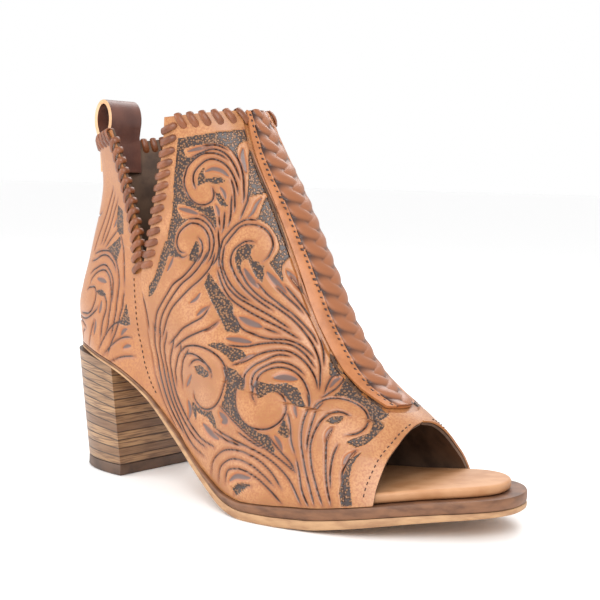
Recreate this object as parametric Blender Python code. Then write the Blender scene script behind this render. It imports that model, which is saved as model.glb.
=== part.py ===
"""Women's western ankle boot for the right foot: open toe, V notches in both sides of the collar,
stacked block heel. Metres, +Z up, +X to the toe, the outer side of the foot at -Y, floor at z = 0.
Before the last step x is measured from the heel end of the upper's bottom edge."""

import bpy
import math
import numpy as np
from mathutils import Vector
from mathutils.geometry import delaunay_2d_cdt

MM = 0.001
GAP = 0.3 * MM                      # between two pieces that touch

# Driving sizes of the last
LAST_LENGTH = 237 * MM              # bottom edge of the upper, heel to toe tip
BALL_WIDTH = 84 * MM
HEEL_HEIGHT = 58 * MM               # underside of the sole at the back
SHAFT_BACK = 98.5 * MM              # collar above the heel seat, at the back
SHAFT_FRONT = 112.3 * MM            # collar above the heel seat, at the front
TOE_SWING = 12 * MM                 # the tip lies this far to the inner side of the foot
TOE_SPRING = 9.4 * MM               # underside of the sole at the tip

# Sole, heel and footbed
MIDSOLE_THICKNESS = 4.4 * MM
OUTSOLE_THICKNESS = 3.8 * MM
SOLE_MARGIN = 2.2 * MM              # the sole stands out past the upper at the forefoot
LIFT_THICKNESS = 5 * MM
HEEL_TOP_FRONT = 43 * MM            # x of the breast under the sole
HEEL_TOP_INSET = 1.0 * MM
HEEL_FOOT_BACK = 8 * MM             # x of the heel's back at the floor
HEEL_FOOT_FRONT = 48 * MM
HEEL_FOOT_WIDTH = 57 * MM
HEEL_ROUNDNESS = 2.4                # 2 is an ellipse, more is squarer
INSOLE_THICKNESS = 4.5 * MM
INSOLE_CLEARANCE = 2.0 * MM         # to the inside of the upper
INSOLE_EDGE = 1.6 * MM              # rounding of the pad's edge

# Leather
WALL = 2.4 * MM                     # leather and lining together
PANEL_STEP = 0.9 * MM               # the front panel lies this much over the quarter
PANEL_FADE = 0.12                   # the quarter dips under the panel over this turn
STRIP_SINK = 1.3 * MM               # the wall is let in under the braided strip
STRIP_CLEARANCE = 0.5 * MM
STRIP_THICKNESS = 1.3 * MM          # of the plain borders
STRIP_WIDTH = 32.6 * MM             # at its widest
BRAID_RELIEF = 0.9 * MM             # the strands stand out this much more
BRAID_PITCH = 9 * MM                # from one crossing of the braid to the next

# Pull loop
LOOP_WIDTH = 20 * MM
LOOP_THICKNESS = 2 * MM
LOOP_RISE = 20.4 * MM               # above the collar
LOOP_BOW = 12.4 * MM                # across the loop, outside
LOOP_LEG = 15 * MM                  # down each side of the back of the collar
LOOP_CLEARANCE = 0.7 * MM           # between the flat legs and the curved wall
LOOP_NECK = 0.6 * MM                # the legs spread this much just above the collar
LOOP_NECK_RISE = 2.5 * MM
LOOP_STRAIGHTENS = 4 * MM           # above the collar the strap no longer follows its curve
BOW_CENTRE = 0.55                   # height of the bow's middle, as a share of its top
BOW_PAST_HALF = 25                  # degrees that the bow runs on past a half circle, at each end

# How finely the pieces are divided
LEVELS = 8                          # rows of the table below, less the first
TURN_STEP = 0.05                    # a turn is 0 at the back, 1 at the toe, 2 at the back again
FOOT_STEP = 0.025                   # finer along the sole, where the pieces meet
LEVEL_STEP = 0.4
TOE_LEVEL_STEP = 0.22               # along the edge of the toe opening
CLEAR_OF_EDGE = 0.42                # share of LEVEL_STEP kept between inner points and any edge
FOOT_LIFT = 0.5 * MM                # all but the bottom row stays this much above the sole
STRIP_ROWS = 56
STRIP_COLUMNS = 13
HEEL_RINGS = 5
HEEL_SIDE_POINTS = 14
BOW_POINTS = 15
LOOP_ROWS = 7

# Rings of the upper from its bottom edge to the collar. back_x and front_x are shares of
# LAST_LENGTH, back_z of SHAFT_BACK above the heel seat, front_z of the collar's front height,
# and the half widths, at four shares of the ring's length, are shares of BALL_WIDTH.
RING_SHARES = (0.15, 0.40, 0.65, 0.85)
RINGS = (
    # back_x, back_z, front_x, front_z, half widths
    (0.000, 0.000, 1.000, 0.000, 0.000, 0.000, 0.000, 0.000),
    (-0.011, 0.183, 0.900, 0.173, 0.370, 0.369, 0.488, 0.463),
    (0.002, 0.302, 0.827, 0.250, 0.369, 0.393, 0.464, 0.429),
    (0.017, 0.420, 0.744, 0.334, 0.343, 0.405, 0.429, 0.381),
    (0.030, 0.544, 0.678, 0.458, 0.317, 0.405, 0.393, 0.345),
    (0.042, 0.666, 0.619, 0.608, 0.286, 0.398, 0.383, 0.335),
    (0.050, 0.786, 0.555, 0.766, 0.268, 0.392, 0.382, 0.333),
    (0.051, 0.905, 0.489, 0.900, 0.281, 0.394, 0.390, 0.345),
    (0.048, 1.000, 0.444, 1.000, 0.296, 0.405, 0.404, 0.367),
)
BACK_ROUNDING = (0.26, 2.2)         # share of the ring that is rounded, and its exponent
# level, share of the ring that is rounded at the front, exponent
FRONT_ROUNDING = (
    (0, 0.72, 2.2),
    (2, 0.60, 2.0),
    (4, 0.50, 1.94),
    (8, 0.55, 2.1),
)
FOLLOWS_SOLE = (1, 0.55, 0.22, 0.06, 0, 0, 0, 0, 0)   # how far each ring follows the sole's curve

# The bottom edge of the upper: share of LAST_LENGTH, half width of the outer and the inner side of
# the foot as shares of BALL_WIDTH.
FEATHER = (
    (0.06, 0.265, 0.256),
    (0.15, 0.369, 0.344),
    (0.30, 0.386, 0.335),
    (0.45, 0.447, 0.361),
    (0.60, 0.558, 0.461),
    (0.72, 0.534, 0.492),
    (0.84, 0.436, 0.450),
    (0.93, 0.268, 0.350),
)
HEEL_ROUND_SHARE = 0.15
TOE_ROUND_SHARE = 0.28
END_EXPONENT = 2.2
SWING_START = 0.455                 # share of LAST_LENGTH where the toe starts to swing

# Underside of the sole: share of LAST_LENGTH, share of HEEL_HEIGHT. It is flat between the last two.
UNDERSIDE = (
    (0.00, 1.000),
    (0.09, 0.979),
    (0.185, 0.893),
    (0.285, 0.707),
    (0.38, 0.434),
    (0.475, 0.163),
    (0.56, 0.022),
    (0.60, 0.000),
    (0.67, 0.000),
)
# Toe spring: share of LAST_LENGTH, share of TOE_SPRING
SPRING = ((0.67, 0.00), (0.73, 0.08), (0.80, 0.33), (0.89, 0.69), (1.00, 1.00), (1.03, 1.05))
# Sole layers: share of LAST_LENGTH, share of MIDSOLE_THICKNESS, of OUTSOLE_THICKNESS, of SOLE_MARGIN
SOLE_LAYERS = (
    (0.00, 0.26, 0.34, 0.00),
    (0.20, 0.26, 0.34, 0.10),
    (0.43, 0.30, 0.75, 0.60),
    (0.56, 0.62, 0.90, 0.90),
    (0.62, 0.76, 0.94, 1.00),
    (0.71, 0.98, 1.00, 1.00),
    (0.82, 1.00, 0.92, 1.00),
    (1.00, 1.05, 0.60, 1.10),
)

# V notch: level, turn of its rear edge, turn of its front edge. It is the same on both sides.
NOTCH = (
    (8.0, 0.375, 0.632),
    (7.1, 0.386, 0.587),
    (6.3, 0.394, 0.533),
    (5.5, 0.411, 0.489),
    (4.7, 0.423, 0.455),
    (3.75, 0.420, 0.420),
)
# Toe opening: level, turn of its edge. It is the same on both sides.
TOE_OPENING = (
    (0.0, 0.735),
    (0.35, 0.760),
    (0.75, 0.797),
    (1.3, 0.857),
    (1.72, 0.915),
    (1.9, 0.960),
    (1.96, 1.0),
)
# Rear edge of the front panel under the notch: level, turn
SEAM = ((3.75, 0.420), (2.6, 0.409), (1.9, 0.402), (0.7, 0.398), (0.3, 0.406), (0.0, 0.447))
SEAM_WIDTH = 0.006                  # turn over which the panel's edge drops to the quarter
STRIP_SEARCH = 0.7                  # the strip's edge lies between this turn and the front centre
# Strip down the front: level, half width of the strip and of its braid, as shares of STRIP_WIDTH
STRIP = (
    (2.35, 0.34, 0.21),
    (2.7, 0.44, 0.29),
    (3.2, 0.50, 0.31),
    (3.9, 0.50, 0.31),
    (5.1, 0.44, 0.29),
    (6.4, 0.40, 0.29),
    (7.2, 0.32, 0.22),
    (8.0, 0.22, 0.14),
)


def column(rows, index):
    return [row[index] for row in rows]


def curve(places, values, slopes, at):
    """The cubic curve through the values with these slopes. places are shared, the rest may be rows."""
    i = np.clip(np.searchsorted(places, at, side="right") - 1, 0, len(places) - 2)
    step = places[i + 1] - places[i]
    t = np.clip((at - places[i]) / step, 0, 1)

    def pick(rows, index):
        if rows.ndim == 1:
            return rows[index]
        return np.take_along_axis(rows, index[..., None], -1)[..., 0]

    return (
        (2 * t**3 - 3 * t**2 + 1) * pick(values, i)
        + (t**3 - 2 * t**2 + t) * step * pick(slopes, i)
        + (3 * t**2 - 2 * t**3) * pick(values, i + 1)
        + (t**3 - t**2) * step * pick(slopes, i + 1)
    )


def flowing(places, values, at):
    """A curve through the values that flows on past each one."""
    places = np.asarray(places, float)
    values = np.asarray(values, float)
    return curve(places, values, np.gradient(values, places, axis=-1), np.asarray(at, float))


def through(places, values, at):
    """A curve through the values that never overshoots them, so level stretches stay level."""
    places = np.asarray(places, float)
    values = np.asarray(values, float)
    step = np.diff(places)
    rise = np.diff(values) / step
    slope = np.zeros(len(places))
    for k in range(1, len(places) - 1):
        if rise[k - 1] * rise[k] > 0:
            before = 2 * step[k] + step[k - 1]
            after = step[k] + 2 * step[k - 1]
            slope[k] = (before + after) / (before / rise[k - 1] + after / rise[k])
    slope[0], slope[-1] = rise[0], rise[-1]
    return curve(places, values, slope, np.asarray(at, float))


def smooth_step(t):
    t = np.clip(t, 0, 1)
    return t * t * (3 - 2 * t)


# Heights of the sole along x


def share_of_length(x):
    return np.clip(np.asarray(x, float) / LAST_LENGTH, 0, SPRING[-1][0])


def underside_z(x):
    share = share_of_length(x)
    rear = through(column(UNDERSIDE, 0), column(UNDERSIDE, 1), share) * HEEL_HEIGHT
    toe = through(column(SPRING, 0), column(SPRING, 1), share) * TOE_SPRING
    return np.where(share < SPRING[0][0], rear, toe)


def sole_layer(x, index):
    return through(column(SOLE_LAYERS, 0), column(SOLE_LAYERS, index), share_of_length(x))


def outsole_top_z(x):
    return underside_z(x) + sole_layer(x, 2) * OUTSOLE_THICKNESS


def midsole_top_z(x):
    return outsole_top_z(x) + GAP + sole_layer(x, 1) * MIDSOLE_THICKNESS


SEAT_Z = float(midsole_top_z(0))


# Surface of the upper


def feather_half_width(share, side):
    """Half width of the bottom edge, round at the heel and at the toe."""
    def ends(s):
        heel = 1 - (np.clip(HEEL_ROUND_SHARE - s, 0, 1) / HEEL_ROUND_SHARE) ** END_EXPONENT
        toe = 1 - (np.clip(s - 1 + TOE_ROUND_SHARE, 0, 1) / TOE_ROUND_SHARE) ** END_EXPONENT
        return np.sqrt(np.clip(heel, 0, 1) * np.clip(toe, 0, 1))

    places = np.array(column(FEATHER, 0))
    widths = np.array(column(FEATHER, 1 if side < 0 else 2)) * BALL_WIDTH / ends(places)
    body = flowing([0, *places, 1], [widths[0], *widths, widths[-1]], share)
    return body * ends(share)


def ring_half_width(level, share):
    levels = range(1, LEVELS + 1)
    stations = [
        flowing(levels, [row[4 + k] * BALL_WIDTH for row in RINGS[1:]], np.maximum(level, 1))
        for k in range(len(RING_SHARES))
    ]
    width = flowing([0, *RING_SHARES, 1], np.stack([stations[0], *stations, stations[-1]], -1), share)
    reach, power = BACK_ROUNDING
    width = width * (1 - (np.clip(reach - share, 0, 1) / reach) ** power) ** (1 / power)
    reach = through(column(FRONT_ROUNDING, 0), column(FRONT_ROUNDING, 1), level)
    power = through(column(FRONT_ROUNDING, 0), column(FRONT_ROUNDING, 2), level)
    front = np.clip(share - reach, 0, 1) / (1 - reach)
    return width * (1 - front**power) ** (1 / power)


def toe_swing(x):
    return TOE_SWING * np.clip((x / LAST_LENGTH - SWING_START) / (1 - SWING_START), 0, 1) ** 2


def surface(turn, level):
    """Outer surface of the upper. turn runs 0 to 2 round the foot, by the outer side first."""
    turn, level = np.broadcast_arrays(np.asarray(turn, float) % 2, np.asarray(level, float))
    near = turn <= 1
    along = (1 - np.cos(np.pi * np.where(near, turn, 2 - turn))) / 2
    rows = range(LEVELS + 1)
    back_z = [SEAT_Z + row[1] * SHAFT_BACK for row in RINGS]
    front_z = [row[3] * (SEAT_Z + SHAFT_FRONT) for row in RINGS]
    front_z[0] = float(midsole_top_z(LAST_LENGTH))
    back_x = flowing(rows, [row[0] * LAST_LENGTH for row in RINGS], level)
    front_x = flowing(rows, [row[2] * LAST_LENGTH for row in RINGS], level)
    x = back_x + (front_x - back_x) * along
    feather = np.where(
        near, feather_half_width(along, -1), feather_half_width(along, 1)
    )
    blend = smooth_step(level)
    width = feather + (ring_half_width(level, along) - feather) * blend
    y = np.where(near, -width, width) + toe_swing(x)
    line = flowing(rows, back_z, level) * (1 - along) + flowing(rows, front_z, level) * along
    sole_line = midsole_top_z(back_x) * (1 - along) + midsole_top_z(front_x) * along
    follow = through(rows, FOLLOWS_SOLE, level)
    z = line + follow * (midsole_top_z(x) - sole_line)
    return np.stack([x, y, z], -1)


def outward(turn, level):
    """Unit normal of the upper's surface."""
    d_turn, d_level = 0.001, 0.01
    around = surface(turn + d_turn, level) - surface(turn - d_turn, level)
    up = surface(turn, np.minimum(level + d_level, LEVELS)) - surface(
        turn, np.maximum(level - d_level, 0)
    )
    normal = np.cross(around, up)
    return normal / np.linalg.norm(normal, axis=-1)[..., None]


def strip_half(level, index):
    """Half width of the strip (1) or of its braid (2) at this level."""
    return float(through(column(STRIP, 0), column(STRIP, index), level)) * STRIP_WIDTH


def strip_edge_turn(level):
    """Turn, on the outer side of the foot, where the braided strip ends at this level."""
    half = strip_half(level, 1)
    turns = np.linspace(1, STRIP_SEARCH, 61)
    points = surface(turns, np.full(len(turns), level))
    run = np.concatenate([[0], np.cumsum(np.linalg.norm(np.diff(points, axis=0), axis=1))])
    return float(np.interp(half, run, turns))


STRIP_LEVELS = np.linspace(STRIP[0][0], STRIP[-1][0], 15)
STRIP_TURNS = np.array([strip_edge_turn(level) for level in STRIP_LEVELS])
TROUGH_FOOT = 0.006                 # the let-in floor starts this far, in turns, outside the strip
TROUGH_EDGE = 0.016                 # and its upper edge this far
TROUGH_START = STRIP[0][0] - 0.15   # level of the trough's lower end


def folded(turn):
    """The same turn on the outer side of the foot."""
    return np.where(turn > 1, 2 - turn, turn)


def wall_step(turn, level):
    """How far the outer face of the wall is let in: behind the panel's edge and under the strip."""
    side = folded(turn)
    edge = through(column(SEAM, 0)[::-1], column(SEAM, 1)[::-1], np.minimum(level, SEAM[0][0]))
    edge = np.where(level > SEAM[0][0], (NOTCH[0][1] + NOTCH[-1][1]) / 2, edge)
    behind = edge - side
    quarter = np.where(behind > -SEAM_WIDTH / 2, np.clip(1 - behind / PANEL_FADE, 0, 1), 0)
    strip = np.interp(level, STRIP_LEVELS, STRIP_TURNS)
    bank = np.clip((side - strip + TROUGH_EDGE) / (TROUGH_EDGE - TROUGH_FOOT), 0, 1)
    under = np.where(level > TROUGH_START - 1e-6, bank, 0)
    return PANEL_STEP * quarter + STRIP_SINK * under


# Mesh helpers


def material(name, colour, roughness):
    made = bpy.data.materials.new(name)
    made.use_nodes = True
    shader = made.node_tree.nodes["Principled BSDF"]
    shader.inputs["Base Color"].default_value = (*colour, 1)
    shader.inputs["Roughness"].default_value = roughness
    shader.inputs["Metallic"].default_value = 0
    made.diffuse_color = (*colour, 1)
    return made


def piece(name, points, faces, finish):
    mesh = bpy.data.meshes.new(name)
    mesh.from_pydata([tuple(p) for p in points], [], faces)
    mesh.materials.append(finish)
    mesh.shade_smooth()
    mesh.set_sharp_from_angle(angle=math.radians(35))
    made = bpy.data.objects.new(name, mesh)
    bpy.context.collection.objects.link(made)
    return made


def thick_sheet(name, outer, inner, faces, finish):
    """A closed wall between two sheets of matching points. faces turn the outer sheet outwards."""
    count = len(outer)
    edges = {}
    for face in faces:
        for a, b in zip(face, face[1:] + face[:1]):
            edges[(a, b)] = edges.get((a, b), 0) + 1
    rim = [(a, b) for a, b in edges if (b, a) not in edges]
    solid = [list(face) for face in faces]
    solid += [[corner + count for corner in reversed(face)] for face in faces]
    solid += [[b, a, a + count, b + count] for a, b in rim]
    return piece(name, [*outer, *inner], solid, finish)


def loft(name, rings, finish):
    """A closed solid through rings of matching points, capped in strips from side to side.
    Each ring runs from the back by the outer side to the front and home by the inner side."""
    count = len(rings[0])
    half = count // 2
    points = [p for ring in rings for p in ring]
    faces = []
    for k in range(len(rings) - 1):
        for i in range(count):
            j = (i + 1) % count
            faces.append([k * count + i, k * count + j, (k + 1) * count + j, (k + 1) * count + i])
    for base, turned in ((0, True), ((len(rings) - 1) * count, False)):
        for i in range(half):
            strip = [i, i + 1, (count - i - 1) % count, (count - i) % count]
            strip = [base + corner for corner in dict.fromkeys(strip)]
            faces.append(strip[::-1] if turned else strip)
    return piece(name, points, faces, finish)


# Pieces


def edge_points(rows, step):
    """Points along a table's curve of (level, turn), evenly spaced in level."""
    rows = sorted(rows)
    count = max(2, round((rows[-1][0] - rows[0][0]) / step) + 1)
    levels = np.linspace(rows[0][0], rows[-1][0], count)
    turns = through(column(rows, 0), column(rows, 1), levels)
    return list(zip(turns, levels))


def run_of(turn_from, turn_to, level, step=TURN_STEP):
    count = max(2, round(abs(turn_to - turn_from) / step) + 1)
    return [(turn, level) for turn in np.linspace(turn_from, turn_to, count)]


def across(points):
    """The same points on the inner side of the foot, in the opposite order."""
    return [(2 - turn, level) for turn, level in reversed(points)]


def upper_outline():
    """The upper laid flat as (turn, level): a band with a notch from below for the toe and one from
    above on each side."""
    toe = edge_points(TOE_OPENING, TOE_LEVEL_STEP)
    rear = edge_points([(row[0], row[1]) for row in NOTCH], LEVEL_STEP)
    front = edge_points([(row[0], row[2]) for row in NOTCH], LEVEL_STEP)
    back = [(0.0, level) for level in np.linspace(0, LEVELS, round(LEVELS / LEVEL_STEP) + 1)]
    foot = run_of(0, SEAM[-1][1], 0, FOOT_STEP)[:-1] + run_of(SEAM[-1][1], toe[0][0], 0, FOOT_STEP)
    bottom = foot + toe[1:]
    trough_foot = STRIP_TURNS[-1] - TROUGH_FOOT
    trough_edge = STRIP_TURNS[-1] - TROUGH_EDGE
    collar = run_of(1, trough_foot, LEVELS)
    collar += run_of(trough_foot, trough_edge, LEVELS)[1:]
    collar += run_of(trough_edge, front[-1][0], LEVELS)[1:]
    collar += front[::-1][1:] + rear[1:]
    collar += run_of(rear[-1][0], 0, LEVELS)[1:]
    outer_side = collar[1:] + back[::-1][1:-1] + bottom
    inner_side = [(2 - turn, level) for turn, level in reversed(outer_side[:-1])]
    return inner_side + [(1.0, LEVELS)] + outer_side


def make_upper(finish):
    outline = upper_outline()
    seam = edge_points(SEAM, LEVEL_STEP)
    ahead = [(turn + SEAM_WIDTH, level) for turn, level in seam[:-1]]
    lines = [seam, ahead]
    strip = [(TROUGH_START, STRIP_TURNS[0]), *zip(STRIP_LEVELS, STRIP_TURNS)]
    for back_off in (TROUGH_FOOT, TROUGH_EDGE):
        lines.append([(turn - back_off, level) for level, turn in strip])
    lines += [across(line) for line in lines]
    points = [Vector((turn * LEVELS, level)) for turn, level in outline]
    edges = [(i, (i + 1) % len(outline)) for i in range(len(outline))]
    for line in lines:
        start = len(points)
        points += [Vector((turn * LEVELS, level)) for turn, level in line]
        edges += [(start + i, start + i + 1) for i in range(len(line) - 1)]
    fixed = np.array([(p.x, p.y) for p in points])
    for turn in np.arange(TURN_STEP, 2 - TURN_STEP / 2, TURN_STEP):
        for level in np.arange(LEVEL_STEP, LEVELS, LEVEL_STEP):
            spot = np.array([turn * LEVELS, level])
            if np.min(np.hypot(*(fixed - spot).T)) > CLEAR_OF_EDGE * LEVEL_STEP:
                points.append(Vector(spot))
    sheet = delaunay_2d_cdt(points, edges, [list(range(len(outline)))], 1, 1e-6)
    flat = np.array([(p.x / LEVELS, p.y) for p in sheet[0]])
    faces = [list(face) for face in sheet[2]]
    turn, level = flat[:, 0], flat[:, 1]
    shell = surface(turn, level)
    normal = outward(turn, level)
    outer = shell - normal * wall_step(turn, level)[:, None]
    inner = shell - normal * WALL
    on_sole = level < 1e-6
    for sheet_points in (outer, inner):
        rest = midsole_top_z(sheet_points[:, 0]) + GAP
        lifted = np.maximum(sheet_points[:, 2], rest + FOOT_LIFT)
        sheet_points[:, 2] = np.where(on_sole, rest, lifted)
    # The sheet's two ends meet at the back, so matching points there become one.
    places = [(round(across_sheet % 2, 6) % 2, round(up_sheet, 6)) for across_sheet, up_sheet in flat]
    first_at = {}
    for k, place in enumerate(places):
        first_at.setdefault(place, k)
    kept = sorted(first_at.values())
    new = {old: k for k, old in enumerate(kept)}
    faces = [[new[first_at[places[corner]]] for corner in face] for face in faces]
    thick_sheet("upper", outer[kept], inner[kept], faces, finish)


def plan_ring(offset, count=round(2 / FOOT_STEP)):
    """The bottom edge of the upper in plan, moved out by offset, which may vary along x."""
    turns = np.linspace(0, 2, count, endpoint=False)
    ring = surface(turns, np.zeros(count))
    step = surface(turns + 0.002, np.zeros(count)) - surface(turns - 0.002, np.zeros(count))
    side = np.stack([step[:, 1], -step[:, 0]], -1)
    side /= np.linalg.norm(side, axis=1)[:, None]
    move = offset(ring[:, 0]) if callable(offset) else np.full(count, offset)
    return ring[:, :2] + side * move[:, None]


def at_height(plan, height):
    """Points over a plan ring at a height worked out from x."""
    return np.column_stack([plan, height(plan[:, 0])])


def sole_margin(x):
    return sole_layer(x, 3) * SOLE_MARGIN


def make_sole(outsole_finish, midsole_finish):
    plan = plan_ring(sole_margin)
    loft("outsole", [at_height(plan, underside_z), at_height(plan, outsole_top_z)], outsole_finish)
    loft(
        "midsole",
        [at_height(plan, lambda x: outsole_top_z(x) + GAP), at_height(plan, midsole_top_z)],
        midsole_finish,
    )


def make_insole(finish):
    def layer(inset, height):
        plan = plan_ring(-(WALL + INSOLE_CLEARANCE + inset))
        return at_height(plan, lambda x: midsole_top_z(x) + GAP + height)

    rings = [layer(INSOLE_EDGE, 0)]
    for angle in (-60, 0):
        turn = math.radians(angle)
        rings.append(layer(INSOLE_EDGE * (1 - math.cos(turn)), INSOLE_EDGE * (1 + math.sin(turn))))
    for angle in (0, 45, 90):
        turn = math.radians(angle)
        rings.append(
            layer(
                INSOLE_EDGE * (1 - math.cos(turn)),
                INSOLE_THICKNESS - INSOLE_EDGE * (1 - math.sin(turn)),
            )
        )
    loft("insole", rings, finish)


def heel_plan(back, front, half_near, half_far):
    """A D in plan: straight across the front, round at the back."""
    angles = np.linspace(0, math.pi / 2, HEEL_SIDE_POINTS)
    x = front - (front - back) * np.cos(angles) ** (2 / HEEL_ROUNDNESS)
    reach = np.sin(angles) ** (2 / HEEL_ROUNDNESS)
    near = np.column_stack([x, -half_near * reach])
    far = np.column_stack([x, half_far * reach])
    middle = [[front, 0]]
    return np.vstack([near, middle, far[:0:-1]])


def make_heel(block_finish, lift_finish):
    half_foot = HEEL_FOOT_WIDTH / 2
    foot = heel_plan(HEEL_FOOT_BACK, HEEL_FOOT_FRONT, half_foot, half_foot)
    top = heel_plan(
        HEEL_TOP_INSET,
        HEEL_TOP_FRONT,
        float(feather_half_width(HEEL_TOP_FRONT / LAST_LENGTH, -1)) - HEEL_TOP_INSET,
        float(feather_half_width(HEEL_TOP_FRONT / LAST_LENGTH, 1)) - HEEL_TOP_INSET,
    )

    def flat(height):
        return np.column_stack([foot, np.full(len(foot), height)])

    loft("top_lift", [flat(0), flat(LIFT_THICKNESS)], lift_finish)
    low = flat(LIFT_THICKNESS + GAP)
    high = at_height(top, lambda x: underside_z(x) - GAP)
    rings = [low * (1 - share) + high * share for share in np.linspace(0, 1, HEEL_RINGS)]
    loft("heel_block", rings, block_finish)


def make_strip(finish):
    """The braided strip down the front: flat borders, and three strands that cross between them."""
    outer = []
    inner = []
    levels = np.linspace(STRIP[0][0], STRIP[-1][0], STRIP_ROWS)
    centre = surface(np.full(STRIP_ROWS, 1.0), levels)
    run = np.concatenate([[0], np.cumsum(np.linalg.norm(np.diff(centre, axis=0), axis=1))])
    base = STRIP_CLEARANCE - STRIP_SINK
    for level, distance in zip(levels, run):
        edge = float(np.interp(level, STRIP_LEVELS, STRIP_TURNS))
        half = strip_half(level, 1)
        braid = strip_half(level, 2)
        for place in np.linspace(-1, 1, STRIP_COLUMNS):
            turn = 1 + place * (1 - edge)
            point = surface(turn, level)
            normal = outward(turn, level)
            height = 0
            if abs(place) * half < braid:
                height = BRAID_RELIEF * braid_height(place * half, distance, braid)
            inner.append(point + normal * base)
            outer.append(point + normal * (base + STRIP_THICKNESS + height))
    faces = []
    for i in range(STRIP_ROWS - 1):
        for j in range(STRIP_COLUMNS - 1):
            a = i * STRIP_COLUMNS + j
            faces.append([a, a + 1, a + STRIP_COLUMNS + 1, a + STRIP_COLUMNS])
    thick_sheet("braided_strip", outer, inner, faces, finish)


def braid_height(across_strip, distance, half):
    """1 on the crown of a strand, 0 between two strands."""
    slant = distance / BRAID_PITCH + abs(across_strip) / (2 * half)
    return 0.5 + 0.5 * math.cos(2 * math.pi * slant)


def make_pull_loop(finish):
    """A strap over the back of the collar: one leg outside, one leg inside, and a round bow above."""
    collar = surface(0.0, float(LEVELS))
    below = surface(0.0, LEVELS - 1.0)
    lean = (collar[0] - below[0]) / (collar[2] - below[2])
    middle_x = collar[0] + WALL / 2
    leg = WALL / 2 + LOOP_CLEARANCE + LOOP_THICKNESS / 2
    leg_path = [
        (leg, -LOOP_LEG),
        (leg, -LOOP_LEG / 2),
        (leg, -LOOP_NECK),
        (leg + LOOP_NECK, LOOP_NECK_RISE),
    ]
    bow_x = (LOOP_BOW - LOOP_THICKNESS) / 2
    bow_top = LOOP_RISE - LOOP_THICKNESS / 2
    bow_z = bow_top * BOW_CENTRE
    angles = np.radians(np.linspace(-BOW_PAST_HALF, 180 + BOW_PAST_HALF, BOW_POINTS))
    bow = np.column_stack([-bow_x * np.cos(angles), bow_z + (bow_top - bow_z) * np.sin(angles)])
    path = np.array([(-x, z) for x, z in leg_path] + bow.tolist() + leg_path[::-1])
    path[:, 0] += np.minimum(path[:, 1], 0) * lean
    tangent = np.gradient(path, axis=0)
    tangent /= np.linalg.norm(tangent, axis=1)[:, None]
    side = np.column_stack([-tangent[:, 1], tangent[:, 0]]) * LOOP_THICKNESS / 2
    turns = np.linspace(0, NOTCH[-1][1] / 2, 40)
    ring = surface(turns, np.full(len(turns), float(LEVELS)))
    outer = []
    inner = []
    for (x, z), (dx, dz) in zip(path, side):
        hug = smooth_step(1 - z / LOOP_STRAIGHTENS)
        for y in np.linspace(-LOOP_WIDTH / 2, LOOP_WIDTH / 2, LOOP_ROWS):
            bend = (float(np.interp(abs(y), -ring[:, 1], ring[:, 0])) - collar[0]) * hug
            outer.append((middle_x + x + dx + bend, y, collar[2] + z + dz))
            inner.append((middle_x + x - dx + bend, y, collar[2] + z - dz))
    faces = []
    for i in range(len(path) - 1):
        for j in range(LOOP_ROWS - 1):
            a = i * LOOP_ROWS + j
            faces.append([a, a + LOOP_ROWS, a + LOOP_ROWS + 1, a + 1])
    thick_sheet("pull_loop", outer, inner, faces, finish)


def centre_on_floor():
    """Hangs every piece on one empty, which puts the middle of the whole over the origin."""
    boxes = []
    for made in bpy.data.objects:
        if made.type == "MESH":
            corners = np.array([corner[:] for corner in made.bound_box])
            boxes.append((corners.min(0), corners.max(0)))
    low = np.min([box[0] for box in boxes], axis=0)
    high = np.max([box[1] for box in boxes], axis=0)
    base = bpy.data.objects.new("boot", None)
    bpy.context.collection.objects.link(base)
    base.location = (-(low[0] + high[0]) / 2, -(low[1] + high[1]) / 2, 0)
    for made in bpy.data.objects:
        if made.type == "MESH":
            made.parent = base


def main():
    for old in list(bpy.data.objects):
        bpy.data.objects.remove(old, do_unlink=True)
    tan = material("tooled_tan_leather", (0.70, 0.36, 0.14), 0.45)
    brown = material("brown_lace_leather", (0.36, 0.15, 0.07), 0.5)
    nude = material("nude_lining_leather", (0.62, 0.41, 0.24), 0.55)
    light = material("pale_sole_leather", (0.62, 0.49, 0.34), 0.6)
    dark = material("dark_sole_leather", (0.30, 0.20, 0.12), 0.6)
    stack = material("stacked_heel_leather", (0.60, 0.45, 0.30), 0.55)
    make_sole(light, dark)
    make_upper(tan)
    make_insole(nude)
    make_heel(stack, dark)
    make_strip(brown)
    make_pull_loop(brown)
    centre_on_floor()


main()
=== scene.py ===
"""Looks of the open-toe western ankle boot: sole, stacked heel, padded insole, tooled upper,
whip-stitched lace, braided strip and pull loop, on a pale floor."""

import math
import bpy
import numpy as np
from mathutils import Matrix, Vector, kdtree


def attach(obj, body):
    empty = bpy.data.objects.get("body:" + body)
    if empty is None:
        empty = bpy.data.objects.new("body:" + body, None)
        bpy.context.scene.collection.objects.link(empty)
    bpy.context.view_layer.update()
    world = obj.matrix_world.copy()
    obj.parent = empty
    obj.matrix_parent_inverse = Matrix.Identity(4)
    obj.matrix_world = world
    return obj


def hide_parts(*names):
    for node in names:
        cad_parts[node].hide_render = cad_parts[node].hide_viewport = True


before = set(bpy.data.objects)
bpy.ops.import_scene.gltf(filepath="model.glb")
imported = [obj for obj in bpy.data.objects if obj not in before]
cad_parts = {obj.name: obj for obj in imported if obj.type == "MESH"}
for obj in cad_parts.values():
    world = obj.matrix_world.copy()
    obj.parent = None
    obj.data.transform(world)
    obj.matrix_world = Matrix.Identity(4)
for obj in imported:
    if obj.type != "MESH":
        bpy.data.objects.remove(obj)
bpy.ops.object.select_all(action="DESELECT")
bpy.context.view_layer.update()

# SOLE
# Pale leather outsole under a darker midsole, both following the sole's curve.
# Cut from veg-tan leather with rounded edges, cemented to each other.

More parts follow.
